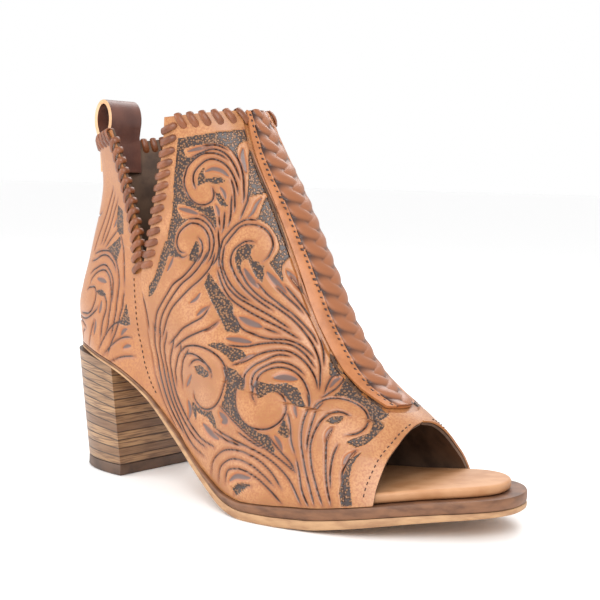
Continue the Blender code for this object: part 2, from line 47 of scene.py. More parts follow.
MM = 0.001
TO_ROW = np.array([-0.118485, 0.000580, 0.0])    # from the heel end of the upper to the row frame
GAP = 0.3 * MM                      # between two pieces that touch
LAST_LENGTH = 237 * MM              # bottom edge of the upper, heel to toe tip
BALL_WIDTH = 84 * MM
HEEL_HEIGHT = 58 * MM               # underside of the sole at the back
SHAFT_BACK = 98.5 * MM              # collar above the heel seat, at the back
SHAFT_FRONT = 112.3 * MM            # collar above the heel seat, at the front
TOE_SWING = 12 * MM                 # the tip lies this far to the inner side of the foot
TOE_SPRING = 9.4 * MM               # underside of the sole at the tip
MIDSOLE_THICKNESS = 4.4 * MM
OUTSOLE_THICKNESS = 3.8 * MM
SOLE_MARGIN = 2.2 * MM              # the sole stands out past the upper at the forefoot
LEVELS = 8                          # rows of the table below, less the first
FOOT_STEP = 0.025                   # finer along the sole, where the pieces meet
RING_SHARES = (0.15, 0.40, 0.65, 0.85)
RINGS = (
    # back_x, back_z, front_x, front_z, half widths
    (0.000, 0.000, 1.000, 0.000, 0.000, 0.000, 0.000, 0.000),
    (-0.011, 0.183, 0.900, 0.173, 0.370, 0.369, 0.488, 0.463),
    (0.002, 0.302, 0.827, 0.250, 0.369, 0.393, 0.464, 0.429),
    (0.017, 0.420, 0.744, 0.334, 0.343, 0.405, 0.429, 0.381),
    (0.030, 0.544, 0.678, 0.458, 0.317, 0.405, 0.393, 0.345),
    (0.042, 0.666, 0.619, 0.608, 0.286, 0.398, 0.383, 0.335),
    (0.050, 0.786, 0.555, 0.766, 0.268, 0.392, 0.382, 0.333),
    (0.051, 0.905, 0.489, 0.900, 0.281, 0.394, 0.390, 0.345),
    (0.048, 1.000, 0.444, 1.000, 0.296, 0.405, 0.404, 0.367),
)
BACK_ROUNDING = (0.26, 2.2)         # share of the ring that is rounded, and its exponent
# level, share of the ring that is rounded at the front, exponent
FRONT_ROUNDING = (
    (0, 0.72, 2.2),
    (2, 0.60, 2.0),
    (4, 0.50, 1.94),
    (8, 0.55, 2.1),
)
FOLLOWS_SOLE = (1, 0.55, 0.22, 0.06, 0, 0, 0, 0, 0)   # how far each ring follows the sole's curve
# The bottom edge of the upper: share of LAST_LENGTH, half width of the outer and the inner side of
# the foot as shares of BALL_WIDTH.
FEATHER = (
    (0.06, 0.265, 0.256),
    (0.15, 0.369, 0.344),
    (0.30, 0.386, 0.335),
    (0.45, 0.447, 0.361),
    (0.60, 0.558, 0.461),
    (0.72, 0.534, 0.492),
    (0.84, 0.436, 0.450),
    (0.93, 0.268, 0.350),
)
HEEL_ROUND_SHARE = 0.15
TOE_ROUND_SHARE = 0.28
END_EXPONENT = 2.2
SWING_START = 0.455                 # share of LAST_LENGTH where the toe starts to swing
# Underside of the sole: share of LAST_LENGTH, share of HEEL_HEIGHT. It is flat between the last two.
UNDERSIDE = (
    (0.00, 1.000),
    (0.09, 0.979),
    (0.185, 0.893),
    (0.285, 0.707),
    (0.38, 0.434),
    (0.475, 0.163),
    (0.56, 0.022),
    (0.60, 0.000),
    (0.67, 0.000),
)
SPRING = ((0.67, 0.00), (0.73, 0.08), (0.80, 0.33), (0.89, 0.69), (1.00, 1.00), (1.03, 1.05))
# Sole layers: share of LAST_LENGTH, share of MIDSOLE_THICKNESS, of OUTSOLE_THICKNESS, of SOLE_MARGIN
SOLE_LAYERS = (
    (0.00, 0.26, 0.34, 0.00),
    (0.20, 0.26, 0.34, 0.10),
    (0.43, 0.30, 0.75, 0.60),
    (0.56, 0.62, 0.90, 0.90),
    (0.62, 0.76, 0.94, 1.00),
    (0.71, 0.98, 1.00, 1.00),
    (0.82, 1.00, 0.92, 1.00),
    (1.00, 1.05, 0.60, 1.10),
)


def column(rows, index):
    return [row[index] for row in rows]


def curve(places, values, slopes, at):
    """The cubic curve through the values with these slopes. places are shared, the rest may be rows."""
    i = np.clip(np.searchsorted(places, at, side="right") - 1, 0, len(places) - 2)
    step = places[i + 1] - places[i]
    t = np.clip((at - places[i]) / step, 0, 1)

    def pick(rows, index):
        if rows.ndim == 1:
            return rows[index]
        return np.take_along_axis(rows, index[..., None], -1)[..., 0]

    return (
        (2 * t**3 - 3 * t**2 + 1) * pick(values, i)
        + (t**3 - 2 * t**2 + t) * step * pick(slopes, i)
        + (3 * t**2 - 2 * t**3) * pick(values, i + 1)
        + (t**3 - t**2) * step * pick(slopes, i + 1)
    )


def flowing(places, values, at):
    """A curve through the values that flows on past each one."""
    places = np.asarray(places, float)
    values = np.asarray(values, float)
    return curve(places, values, np.gradient(values, places, axis=-1), np.asarray(at, float))


def through(places, values, at):
    """A curve through the values that never overshoots them, so level stretches stay level."""
    places = np.asarray(places, float)
    values = np.asarray(values, float)
    step = np.diff(places)
    rise = np.diff(values) / step
    slope = np.zeros(len(places))
    for k in range(1, len(places) - 1):
        if rise[k - 1] * rise[k] > 0:
            before = 2 * step[k] + step[k - 1]
            after = step[k] + 2 * step[k - 1]
            slope[k] = (before + after) / (before / rise[k - 1] + after / rise[k])
    slope[0], slope[-1] = rise[0], rise[-1]
    return curve(places, values, slope, np.asarray(at, float))


def smooth_step(t):
    t = np.clip(t, 0, 1)
    return t * t * (3 - 2 * t)


def share_of_length(x):
    return np.clip(np.asarray(x, float) / LAST_LENGTH, 0, SPRING[-1][0])


def underside_z(x):
    share = share_of_length(x)
    rear = through(column(UNDERSIDE, 0), column(UNDERSIDE, 1), share) * HEEL_HEIGHT
    toe = through(column(SPRING, 0), column(SPRING, 1), share) * TOE_SPRING
    return np.where(share < SPRING[0][0], rear, toe)


def sole_layer(x, index):
    return through(column(SOLE_LAYERS, 0), column(SOLE_LAYERS, index), share_of_length(x))


def outsole_top_z(x):
    return underside_z(x) + sole_layer(x, 2) * OUTSOLE_THICKNESS


def midsole_top_z(x):
    return outsole_top_z(x) + GAP + sole_layer(x, 1) * MIDSOLE_THICKNESS


SEAT_Z = float(midsole_top_z(0))


def feather_half_width(share, side):
    """Half width of the bottom edge, round at the heel and at the toe."""
    def ends(s):
        heel = 1 - (np.clip(HEEL_ROUND_SHARE - s, 0, 1) / HEEL_ROUND_SHARE) ** END_EXPONENT
        toe = 1 - (np.clip(s - 1 + TOE_ROUND_SHARE, 0, 1) / TOE_ROUND_SHARE) ** END_EXPONENT
        return np.sqrt(np.clip(heel, 0, 1) * np.clip(toe, 0, 1))

    places = np.array(column(FEATHER, 0))
    widths = np.array(column(FEATHER, 1 if side < 0 else 2)) * BALL_WIDTH / ends(places)
    body = flowing([0, *places, 1], [widths[0], *widths, widths[-1]], share)
    return body * ends(share)


def ring_half_width(level, share):
    levels = range(1, LEVELS + 1)
    stations = [
        flowing(levels, [row[4 + k] * BALL_WIDTH for row in RINGS[1:]], np.maximum(level, 1))
        for k in range(len(RING_SHARES))
    ]
    width = flowing([0, *RING_SHARES, 1], np.stack([stations[0], *stations, stations[-1]], -1), share)
    reach, power = BACK_ROUNDING
    width = width * (1 - (np.clip(reach - share, 0, 1) / reach) ** power) ** (1 / power)
    reach = through(column(FRONT_ROUNDING, 0), column(FRONT_ROUNDING, 1), level)
    power = through(column(FRONT_ROUNDING, 0), column(FRONT_ROUNDING, 2), level)
    front = np.clip(share - reach, 0, 1) / (1 - reach)
    return width * (1 - front**power) ** (1 / power)


def toe_swing(x):
    return TOE_SWING * np.clip((x / LAST_LENGTH - SWING_START) / (1 - SWING_START), 0, 1) ** 2


def surface(turn, level):
    """Outer surface of the upper. turn runs 0 to 2 round the foot, by the outer side first."""
    turn, level = np.broadcast_arrays(np.asarray(turn, float) % 2, np.asarray(level, float))
    near = turn <= 1
    along = (1 - np.cos(np.pi * np.where(near, turn, 2 - turn))) / 2
    rows = range(LEVELS + 1)
    back_z = [SEAT_Z + row[1] * SHAFT_BACK for row in RINGS]
    front_z = [row[3] * (SEAT_Z + SHAFT_FRONT) for row in RINGS]
    front_z[0] = float(midsole_top_z(LAST_LENGTH))
    back_x = flowing(rows, [row[0] * LAST_LENGTH for row in RINGS], level)
    front_x = flowing(rows, [row[2] * LAST_LENGTH for row in RINGS], level)
    x = back_x + (front_x - back_x) * along
    feather = np.where(
        near, feather_half_width(along, -1), feather_half_width(along, 1)
    )
    blend = smooth_step(level)
    width = feather + (ring_half_width(level, along) - feather) * blend
    y = np.where(near, -width, width) + toe_swing(x)
    line = flowing(rows, back_z, level) * (1 - along) + flowing(rows, front_z, level) * along
    sole_line = midsole_top_z(back_x) * (1 - along) + midsole_top_z(front_x) * along
    follow = through(rows, FOLLOWS_SOLE, level)
    z = line + follow * (midsole_top_z(x) - sole_line)
    return np.stack([x, y, z], -1)


def plan_ring(offset, count=round(2 / FOOT_STEP)):
    """The bottom edge of the upper in plan, moved out by offset, which may vary along x."""
    turns = np.linspace(0, 2, count, endpoint=False)
    ring = surface(turns, np.zeros(count))
    step = surface(turns + 0.002, np.zeros(count)) - surface(turns - 0.002, np.zeros(count))
    side = np.stack([step[:, 1], -step[:, 0]], -1)
    side /= np.linalg.norm(side, axis=1)[:, None]
    move = offset(ring[:, 0]) if callable(offset) else np.full(count, offset)
    return ring[:, :2] + side * move[:, None]


def at_height(plan, height):
    """Points over a plan ring at a height worked out from x."""
    return np.column_stack([plan, height(plan[:, 0])])


def sole_margin(x):
    return sole_layer(x, 3) * SOLE_MARGIN


def linear(code):
    """Linear RGBA of an sRGB hex colour."""
    parts = [int(code[i:i + 2], 16) / 255 for i in (1, 3, 5)]
    return (*[c / 12.92 if c < 0.04045 else ((c + 0.055) / 1.055) ** 2.4 for c in parts], 1)


def add(tree, kind, inputs, output=0, **settings):
    """Adds a shader node and returns one of its outputs. Each input is a value or another output."""
    node = tree.nodes.new(kind)
    for key, value in settings.items():
        setattr(node, key, value)
    for key, value in inputs.items():
        if isinstance(value, bpy.types.NodeSocket):
            tree.links.new(value, node.inputs[key])
        else:
            node.inputs[key].default_value = value
    return node.outputs[output]


def new_material(name):
    made = bpy.data.materials.new(name)
    made.use_nodes = True
    return made, made.node_tree, made.node_tree.nodes["Principled BSDF"]


def leather_grain(tree, size_mm, detail=4, stretch=(1, 1, 1)):
    """Uneven grain of this size, in the object's own space."""
    place = add(tree, "ShaderNodeTexCoord", {}, "Object")
    scaled = add(tree, "ShaderNodeMapping", {"Vector": place, "Scale": stretch})
    settings = {"Vector": scaled, "Scale": 1000 / size_mm, "Detail": detail}
    return add(tree, "ShaderNodeTexNoise", settings)


def smooth_share(low, high, value, first=0.0, last=1.0):
    """Inputs of a Map Range node that goes from first to last as value goes from low to high."""
    return {0: value, 1: low, 2: high, 3: first, 4: last}


PATCH_SIZE = 9                      # mm, the uneven take-up of dye
PATCH_RANGE = (0.35, 0.7)
GRAIN_DEPTH = 0.12                  # mm
GRAIN_STRENGTH = 0.6


def dyed_leather(name, pale, dark, roughness, grain_mm=1.2, stretch=(1, 1, 1)):
    """Leather with dye that took unevenly, and a fine raised grain."""
    made, tree, shader = new_material(name)
    patches = leather_grain(tree, PATCH_SIZE, stretch=stretch)
    share = add(tree, "ShaderNodeMapRange", smooth_share(*PATCH_RANGE, patches),
                interpolation_type="SMOOTHSTEP")
    colour = add(tree, "ShaderNodeMix", {0: share, 6: linear(pale), 7: linear(dark)}, 2,
                 data_type="RGBA")
    tree.links.new(colour, shader.inputs["Base Color"])
    shader.inputs["Roughness"].default_value = roughness
    raised = {"Height": leather_grain(tree, grain_mm), "Distance": GRAIN_DEPTH * MM,
              "Strength": GRAIN_STRENGTH}
    tree.links.new(add(tree, "ShaderNodeBump", raised), shader.inputs["Normal"])
    return made


def mesh_piece(name, points, faces, finish, sharp=35):
    """A mesh object at the origin, from points in the frame of the last."""
    mesh = bpy.data.meshes.new(name)
    mesh.from_pydata([tuple(p) for p in np.asarray(points, float) + TO_ROW], [], faces)
    mesh.materials.append(finish)
    mesh.shade_smooth()
    mesh.set_sharp_from_angle(angle=math.radians(sharp))
    made = bpy.data.objects.new(name, mesh)
    bpy.context.collection.objects.link(made)
    return made


def loft_faces(rings, count):
    """Faces of a closed loft, capped in strips from side to side."""
    faces = []
    for k in range(rings - 1):
        for i in range(count):
            j = (i + 1) % count
            faces.append([k * count + i, k * count + j, (k + 1) * count + j, (k + 1) * count + i])
    for base, turned in ((0, True), ((rings - 1) * count, False)):
        for i in range(count // 2):
            strip = [i, i + 1, (count - i - 1) % count, (count - i) % count]
            strip = [base + corner for corner in dict.fromkeys(strip)]
            faces.append(strip[::-1] if turned else strip)
    return faces


SOLE_RING = 400
SOLE_EDGE = ((0.45, 0.0), (0.12, 0.14), (0.0, 0.35), (0.0, 0.65), (0.12, 0.86), (0.45, 1.0))


def sole_rings(low, high):
    """Rings of one layer with its edge rounded over: inset in mm, share of the thickness."""
    rings = []
    for inset, share in SOLE_EDGE:
        plan = plan_ring(lambda x, inset=inset: sole_margin(x) - inset * MM, SOLE_RING)
        full = plan_ring(sole_margin, SOLE_RING)
        height = low(full[:, 0]) * (1 - share) + high(full[:, 0]) * share
        rings.append(np.column_stack([plan, height]))
    return rings


# Veg-tan sole leather with a sanded, waxed edge: dull, streaked along the edge.
raw_edge = dyed_leather("pale_sole_leather", "#b78f68", "#9a7150", 0.62, 0.8, (1, 1, 3))
rings = sole_rings(underside_z, outsole_top_z)
outsole = mesh_piece("outsole_cut", np.vstack(rings), loft_faces(len(rings), SOLE_RING), raw_edge)
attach(outsole, "root")
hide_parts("outsole")

# The same leather with its edge inked brown.
dark_edge = dyed_leather("dark_sole_leather", "#7d5438", "#5c3a25", 0.55, 0.8, (1, 1, 3))
rings = sole_rings(lambda x: outsole_top_z(x) + GAP, midsole_top_z)
midsole = mesh_piece("midsole_cut", np.vstack(rings), loft_faces(len(rings), SOLE_RING), dark_edge)
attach(midsole, "root")
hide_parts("midsole")

# HEEL
# Stacked heel of twelve leather lifts over a dark rubber top lift, D-shaped in plan.
# The lifts are glued, sanded flush and stained in streaks, with a fine dark line at each joint.

LIFT_THICKNESS = 5 * MM
HEEL_TOP_FRONT = 43 * MM            # x of the breast under the sole
HEEL_TOP_INSET = 1.0 * MM
HEEL_FOOT_BACK = 8 * MM             # x of the heel's back at the floor
HEEL_FOOT_FRONT = 48 * MM
HEEL_FOOT_WIDTH = 57 * MM
HEEL_ROUNDNESS = 2.4                # 2 is an ellipse, more is squarer
HEEL_SIDE_POINTS = 70
HEEL_LAYERS = 12
GROOVE = 0.22 * MM
LAYER_SHARES = (0.0, 0.06, 0.14, 0.5, 0.86, 0.94)


def heel_plan(back, front, half_near, half_far):
    """A D in plan: straight across the front, round at the back."""
    angles = np.linspace(0, math.pi / 2, HEEL_SIDE_POINTS)
    x = front - (front - back) * np.cos(angles) ** (2 / HEEL_ROUNDNESS)
    reach = np.sin(angles) ** (2 / HEEL_ROUNDNESS)
    near = np.column_stack([x, -half_near * reach])
    far = np.column_stack([x, half_far * reach])
    middle = [[front, 0]]
    return np.vstack([near, middle, far[:0:-1]])


def store(made, name, values):
    made.data.attributes.new(name, "FLOAT", "POINT").data.foreach_set("value", np.asarray(values, float))


# Split leather lifts, sanded and stained: streaks along each lift, a low sheen from the wax.
STREAK_SIZE = 3.0                   # mm
JOINT_LINE = (0.04, 0.11)           # share of a lift, dark to clear
heel_leather, tree, shader = new_material("stacked_heel_leather")
layer = add(tree, "ShaderNodeAttribute", {}, "Fac", attribute_name="layer")
whole = add(tree, "ShaderNodeMath", {0: layer}, operation="FLOOR")
chance = add(tree, "ShaderNodeTexWhiteNoise", {"W": whole}, "Value", noise_dimensions="1D")
tone = add(tree, "ShaderNodeMix", {0: chance, 6: linear("#7a5a40"), 7: linear("#a8835c")}, 2,
           data_type="RGBA")
streak = leather_grain(tree, STREAK_SIZE, 5, (0.25, 0.25, 5))
streak = add(tree, "ShaderNodeMapRange", smooth_share(0.4, 0.65, streak),
             interpolation_type="SMOOTHSTEP")
tone = add(tree, "ShaderNodeMix", {0: streak, 6: tone, 7: linear("#6b4c35")}, 2, data_type="RGBA")
near_joint = add(tree, "ShaderNodeMath", {0: layer, 1: 0.5}, operation="PINGPONG")
joint_line = add(tree, "ShaderNodeMapRange", smooth_share(*JOINT_LINE, near_joint, 1.0, 0.0),
                 interpolation_type="SMOOTHSTEP")
tone = add(tree, "ShaderNodeMix", {0: joint_line, 6: tone, 7: linear("#4a3526")}, 2,
           data_type="RGBA")
tree.links.new(tone, shader.inputs["Base Color"])
shader.inputs["Roughness"].default_value = 0.42
raised = {"Height": leather_grain(tree, 1.5, 4, (0.3, 0.3, 4)), "Distance": 0.1 * MM, "Strength": 0.5}
tree.links.new(add(tree, "ShaderNodeBump", raised), shader.inputs["Normal"])

half_foot = HEEL_FOOT_WIDTH / 2
heel_foot = heel_plan(HEEL_FOOT_BACK, HEEL_FOOT_FRONT, half_foot, half_foot)
heel_top = heel_plan(
    HEEL_TOP_INSET,
    HEEL_TOP_FRONT,
    float(feather_half_width(HEEL_TOP_FRONT / LAST_LENGTH, -1)) - HEEL_TOP_INSET,
    float(feather_half_width(HEEL_TOP_FRONT / LAST_LENGTH, 1)) - HEEL_TOP_INSET,
)
heel_low = np.column_stack([heel_foot, np.full(len(heel_foot), LIFT_THICKNESS + GAP)])
heel_high = at_height(heel_top, lambda x: underside_z(x) - GAP)
centre = heel_foot.mean(0)
rings = []
layers = []
for k in range(HEEL_LAYERS):
    for share in LAYER_SHARES:
        place = (k + share) / HEEL_LAYERS
        ring = heel_low * (1 - place) + heel_high * place
        if share == 0.0:
            away = ring[:, :2] - centre
            ring[:, :2] -= away / np.linalg.norm(away, axis=1)[:, None] * GROOVE
        rings.append(ring)
        layers.append(k + share)
rings.append(heel_high)
layers.append(float(HEEL_LAYERS))
count = len(heel_low)
heel = mesh_piece("heel_stack", np.vstack(rings), loft_faces(len(rings), count), heel_leather, 50)
store(heel, "layer", np.repeat(layers, count))
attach(heel, "root")
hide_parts("heel_block")

# Moulded rubber, dark brown, scuffed to a dull shine.
rubber = dyed_leather("top_lift_rubber", "#5a4130", "#3f2c20", 0.5, 0.9)
flat = np.column_stack([heel_foot, np.zeros(len(heel_foot))])
rings = []
for inset, height in ((0.4, 0.0), (0.0, 0.4), (0.0, 4.6), (0.3, 5.0)):
    ring = flat.copy()
    away = ring[:, :2] - centre
    ring[:, :2] -= away / np.linalg.norm(away, axis=1)[:, None] * inset * MM
    ring[:, 2] = height * MM
    rings.append(ring)
top_lift = mesh_piece("top_lift_cut", np.vstack(rings), loft_faces(len(rings), count), rubber)
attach(top_lift, "root")
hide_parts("top_lift")

# INSOLE
# Soft footbed inside the boot, covered in light lining leather.
# Foam pad with a rounded edge, glued to the midsole.

WALL = 2.4 * MM                     # leather and lining together
INSOLE_THICKNESS = 4.5 * MM
INSOLE_CLEARANCE = 2.0 * MM         # to the inside of the upper
INSOLE_EDGE = 1.6 * MM              # rounding of the pad's edge
INSOLE_RING = 240


def insole_ring(inset, height):
    plan = plan_ring(-(WALL + INSOLE_CLEARANCE + inset), INSOLE_RING)
    return at_height(plan, lambda x: midsole_top_z(x) + GAP + height)


# Soft lining leather over foam: pale, matt, with a coarser grain.
footbed = dyed_leather("lining_leather", "#bf8d64", "#b07b50", 0.55, 1.4)
rings = [insole_ring(INSOLE_EDGE, 0)]
for angle in (-60, -30, 0):
    turn = math.radians(angle)
    rings.append(insole_ring(INSOLE_EDGE * (1 - math.cos(turn)), INSOLE_EDGE * (1 + math.sin(turn))))
for angle in (0, 22, 45, 68, 90):
    turn = math.radians(angle)
    top = INSOLE_THICKNESS - INSOLE_EDGE * (1 - math.sin(turn))
    rings.append(insole_ring(INSOLE_EDGE * (1 - math.cos(turn)), top))
insole = mesh_piece("footbed", np.vstack(rings), loft_faces(len(rings), INSOLE_RING), footbed)
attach(insole, "root")
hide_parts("insole")

# TOOLED UPPER
# Three panels of veg-tan leather, carved with western scrolls on a stamped ground.
# Two front panels lap over the quarter, which runs round the heel; all sewn to the lining.

PANEL_STEP = 0.9 * MM               # the front panel lies this much over the quarter
PANEL_FADE = 0.12                   # the quarter dips under the panel over this turn
STRIP_SINK = 1.3 * MM               # the wall is let in under the braided strip
STRIP_WIDTH = 32.6 * MM             # at its widest
# V notch: level, turn of its rear edge, turn of its front edge. It is the same on both sides.
NOTCH = (
    (8.0, 0.375, 0.632),
    (7.1, 0.386, 0.587),
    (6.3, 0.394, 0.533),
    (5.5, 0.411, 0.489),
    (4.7, 0.423, 0.455),
    (3.75, 0.420, 0.420),
)
# Toe opening: level, turn of its edge. It is the same on both sides.
TOE_OPENING = (
    (0.0, 0.735),
    (0.35, 0.760),
    (0.75, 0.797),
    (1.3, 0.857),
    (1.72, 0.915),
    (1.9, 0.960),
    (1.96, 1.0),
)
SEAM = ((3.75, 0.420), (2.6, 0.409), (1.9, 0.402), (0.7, 0.398), (0.3, 0.406), (0.0, 0.447))
SEAM_WIDTH = 0.006                  # turn over which the panel's edge drops to the quarter
STRIP_SEARCH = 0.7                  # the strip's edge lies between this turn and the front centre
# Strip down the front: level, half width of the strip and of its braid, as shares of STRIP_WIDTH
STRIP = (
    (2.35, 0.34, 0.21),
    (2.7, 0.44, 0.29),
    (3.2, 0.50, 0.31),
    (3.9, 0.50, 0.31),
    (5.1, 0.44, 0.29),
    (6.4, 0.40, 0.29),
    (7.2, 0.32, 0.22),
    (8.0, 0.22, 0.14),
)


def outward(turn, level):
    """Unit normal of the upper's surface."""
    d_turn, d_level = 0.001, 0.01
    around = surface(turn + d_turn, level) - surface(turn - d_turn, level)
    up = surface(turn, np.minimum(level + d_level, LEVELS)) - surface(
        turn, np.maximum(level - d_level, 0)
    )
    normal = np.cross(around, up)
    return normal / np.linalg.norm(normal, axis=-1)[..., None]


def strip_half(level, index):
    """Half width of the strip (1) or of its braid (2) at this level."""
    return float(through(column(STRIP, 0), column(STRIP, index), level)) * STRIP_WIDTH


def strip_edge_turn(level):
    """Turn, on the outer side of the foot, where the braided strip ends at this level."""
    half = strip_half(level, 1)
    turns = np.linspace(1, STRIP_SEARCH, 61)
    points = surface(turns, np.full(len(turns), level))
    run = np.concatenate([[0], np.cumsum(np.linalg.norm(np.diff(points, axis=0), axis=1))])
    return float(np.interp(half, run, turns))


STRIP_LEVELS = np.linspace(STRIP[0][0], STRIP[-1][0], 15)
STRIP_TURNS = np.array([strip_edge_turn(level) for level in STRIP_LEVELS])
TROUGH_FOOT = 0.006                 # the let-in floor starts this far, in turns, outside the strip
TROUGH_EDGE = 0.016                 # and its upper edge this far
TROUGH_START = STRIP[0][0] - 0.15   # level of the trough's lower end


def folded(turn):
    """The same turn on the outer side of the foot."""
    return np.where(turn > 1, 2 - turn, turn)


def wall_step(turn, level):
    """How far the outer face of the wall is let in: behind the panel's edge and under the strip."""
    side = folded(turn)
    edge = through(column(SEAM, 0)[::-1], column(SEAM, 1)[::-1], np.minimum(level, SEAM[0][0]))
    edge = np.where(level > SEAM[0][0], (NOTCH[0][1] + NOTCH[-1][1]) / 2, edge)
    behind = edge - side
    quarter = np.where(behind > -SEAM_WIDTH / 2, np.clip(1 - behind / PANEL_FADE, 0, 1), 0)
    strip = np.interp(level, STRIP_LEVELS, STRIP_TURNS)
    bank = np.clip((side - strip + TROUGH_EDGE) / (TROUGH_EDGE - TROUGH_FOOT), 0, 1)
    under = np.where(level > TROUGH_START - 1e-6, bank, 0)
    return PANEL_STEP * quarter + STRIP_SINK * under


# The carving is drawn on four flat charts of the upper, right and down from a corner:
# turn of the left edge, level of the top edge, units to a turn, units to a level
TOP_CHART = (0.40, 7.8, 2300, 330)
MID_CHART = (0.38, 4.9, 2300, 330)
LOW_CHART = (0.36, 2.3, 2300, 400)
REAR_CHART = (0.02, 8.0, 2300, 150)
# Cut lines; petals, each with its half width in mm; and outlines of the stamped ground
TOP_LINES = (
    ((647, 532), (640, 572), (618, 612), (583, 639), (545, 652), (505, 642), (482, 610), (475, 560),
     (478, 520), (492, 480), (517, 435), (547, 390), (585, 354), (630, 320), (677, 295), (730, 286),
     (775, 290), (810, 304), (847, 340)),
    ((541, 542), (541, 515), (550, 475), (567, 440), (600, 402), (640, 370), (685, 342), (735, 331),
     (770, 340), (802, 362), (822, 397), (828, 440), (825, 480), (815, 525), (800, 565)),
    ((710, 230), (750, 224), (790, 224), (830, 232), (860, 250), (885, 272)),
    ((605, 315), (645, 297), (680, 282), (725, 265), (770, 257), (810, 265), (845, 287), (865, 315),
     (875, 355), (877, 395), (872, 435), (865, 470)),
    ((920, 283), (932, 315), (932, 350), (925, 390), (910, 435), (885, 485), (860, 530), (835, 580),
     (808, 618)),
    ((872, 560), (850, 600), (820, 632), (790, 665), (765, 695), (742, 722)),
    ((797, 470), (792, 510), (780, 550), (760, 600), (740, 650), (726, 680)),
    ((750, 580), (730, 620), (712, 660), (700, 690), (680, 730), (655, 772)),
    ((665, 685), (645, 735), (620, 795), (607, 817)),
    ((620, 720), (612, 755), (605, 792)),
    ((600, 895), (620, 870), (650, 835), (685, 800), (725, 765), (770, 745), (815, 740), (860, 742),
     (895, 755), (917, 780), (922, 810), (910, 845), (880, 880), (845, 915), (800, 947)),
    ((600, 895), (580, 945), (566, 990), (560, 1050)),
    ((860, 710), (820, 712), (780, 717), (740, 735), (700, 760), (665, 790), (630, 825), (600, 860),
     (585, 890), (560, 950), (545, 1000), (535, 1050)),
    ((797, 840), (765, 837), (730, 845), (690, 870), (655, 900), (630, 935), (612, 975), (605, 1015),
     (605, 1055)),
    ((362, 1005), (337, 1005), (325, 980), (325, 945), (335, 910), (350, 875), (375, 840), (405, 810),
     (440, 785), (475, 780), (500, 790), (520, 820), (525, 855), (520, 895), (510, 935), (490, 980),
     (470, 1015), (450, 1050)),
    ((435, 757), (465, 750), (495, 747), (525, 760), (545, 790), (552, 825), (550, 865), (540, 905),
     (525, 945), (505, 990), (480, 1035)),
    ((510, 715), (535, 725), (555, 750), (570, 785), (575, 815)),
    ((592, 800), (580, 850), (570, 900), (555, 945), (535, 990), (515, 1025), (495, 1052)),
    ((465, 870), (475, 900), (472, 940), (455, 985), (435, 1025), (420, 1052)),
    ((1120, 100), (1050, 540), (1052, 720), (1050, 960)),
)
TOP_PETALS = (
    (((1020, 262), (985, 310), (960, 370), (945, 420)), 2.2),
    (((965, 580), (910, 615), (850, 670), (805, 700)), 1.6),
    (((595, 270), (650, 255), (720, 245), (780, 240)), 1.8),
    (((650, 420), (700, 402), (755, 412), (790, 450)), 2.0),
    (((700, 525), (708, 560), (702, 600)), 1.5),
    (((625, 645), (628, 680), (622, 715)), 1.5),
    (((395, 695), (440, 700), (500, 715)), 2.0),
)
TOP_GROUND = (
    ((565, 155), (700, 135), (900, 115), (1130, 105), (1130, 190), (1060, 205), (1010, 222), (970, 262),
     (950, 300), (938, 330), (925, 290), (895, 250), (850, 222), (790, 212), (720, 215), (640, 228),
     (590, 240), (568, 262), (563, 310), (590, 322), (630, 312), (590, 345), (545, 380), (510, 425),
     (480, 475), (465, 530), (463, 580), (475, 625), (505, 655), (550, 668), (590, 655), (605, 650),
     (600, 720), (590, 770), (585, 790), (565, 740), (530, 700), (480, 680), (440, 665), (400, 660),
     (380, 690), (380, 725), (395, 755), (430, 762), (400, 790), (360, 830), (335, 870), (318, 920),
     (308, 970), (318, 1015), (345, 1035), (300, 1056), (240, 1056), (265, 960), (300, 840),
     (340, 740), (365, 650), (385, 600), (400, 540), (440, 440), (480, 360), (520, 270), (545, 200)),
    ((1115, 235), (1075, 270), (1040, 310), (1000, 370), (960, 430), (915, 495), (880, 545), (865, 580),
     (900, 570), (960, 556), (1030, 548), (1050, 540), (1060, 450), (1075, 350), (1100, 290)),
    ((1035, 560), (985, 590), (950, 620), (920, 650), (895, 680), (860, 705), (900, 712), (940, 735),
     (962, 780), (962, 830), (940, 865), (905, 895), (870, 925), (840, 950), (850, 970), (870, 1010),
     (890, 1050), (900, 1020), (905, 980), (930, 945), (970, 915), (1010, 895), (1045, 885),
     (1052, 700), (1052, 570)),
    ((780, 860), (740, 855), (700, 875), (665, 905), (643, 945), (635, 985), (633, 1050), (650, 1050),
     (655, 1010), (670, 975), (700, 950), (725, 960), (735, 1000), (738, 1050), (765, 1050),
     (785, 1000), (800, 970), (765, 972), (740, 955), (735, 920), (750, 890)),
    ((560, 525), (575, 480), (600, 440), (640, 400), (655, 398), (630, 430), (628, 470), (650, 470),
     (700, 458), (735, 462), (752, 485), (700, 500), (660, 500), (640, 495), (610, 500)),
    ((655, 560), (680, 570), (690, 620), (700, 640), (680, 650), (655, 640), (645, 600)),
    ((452, 895), (440, 905), (410, 960), (385, 1010), (380, 1055), (405, 1055), (430, 1010), (450, 960),
     (460, 925)),
)
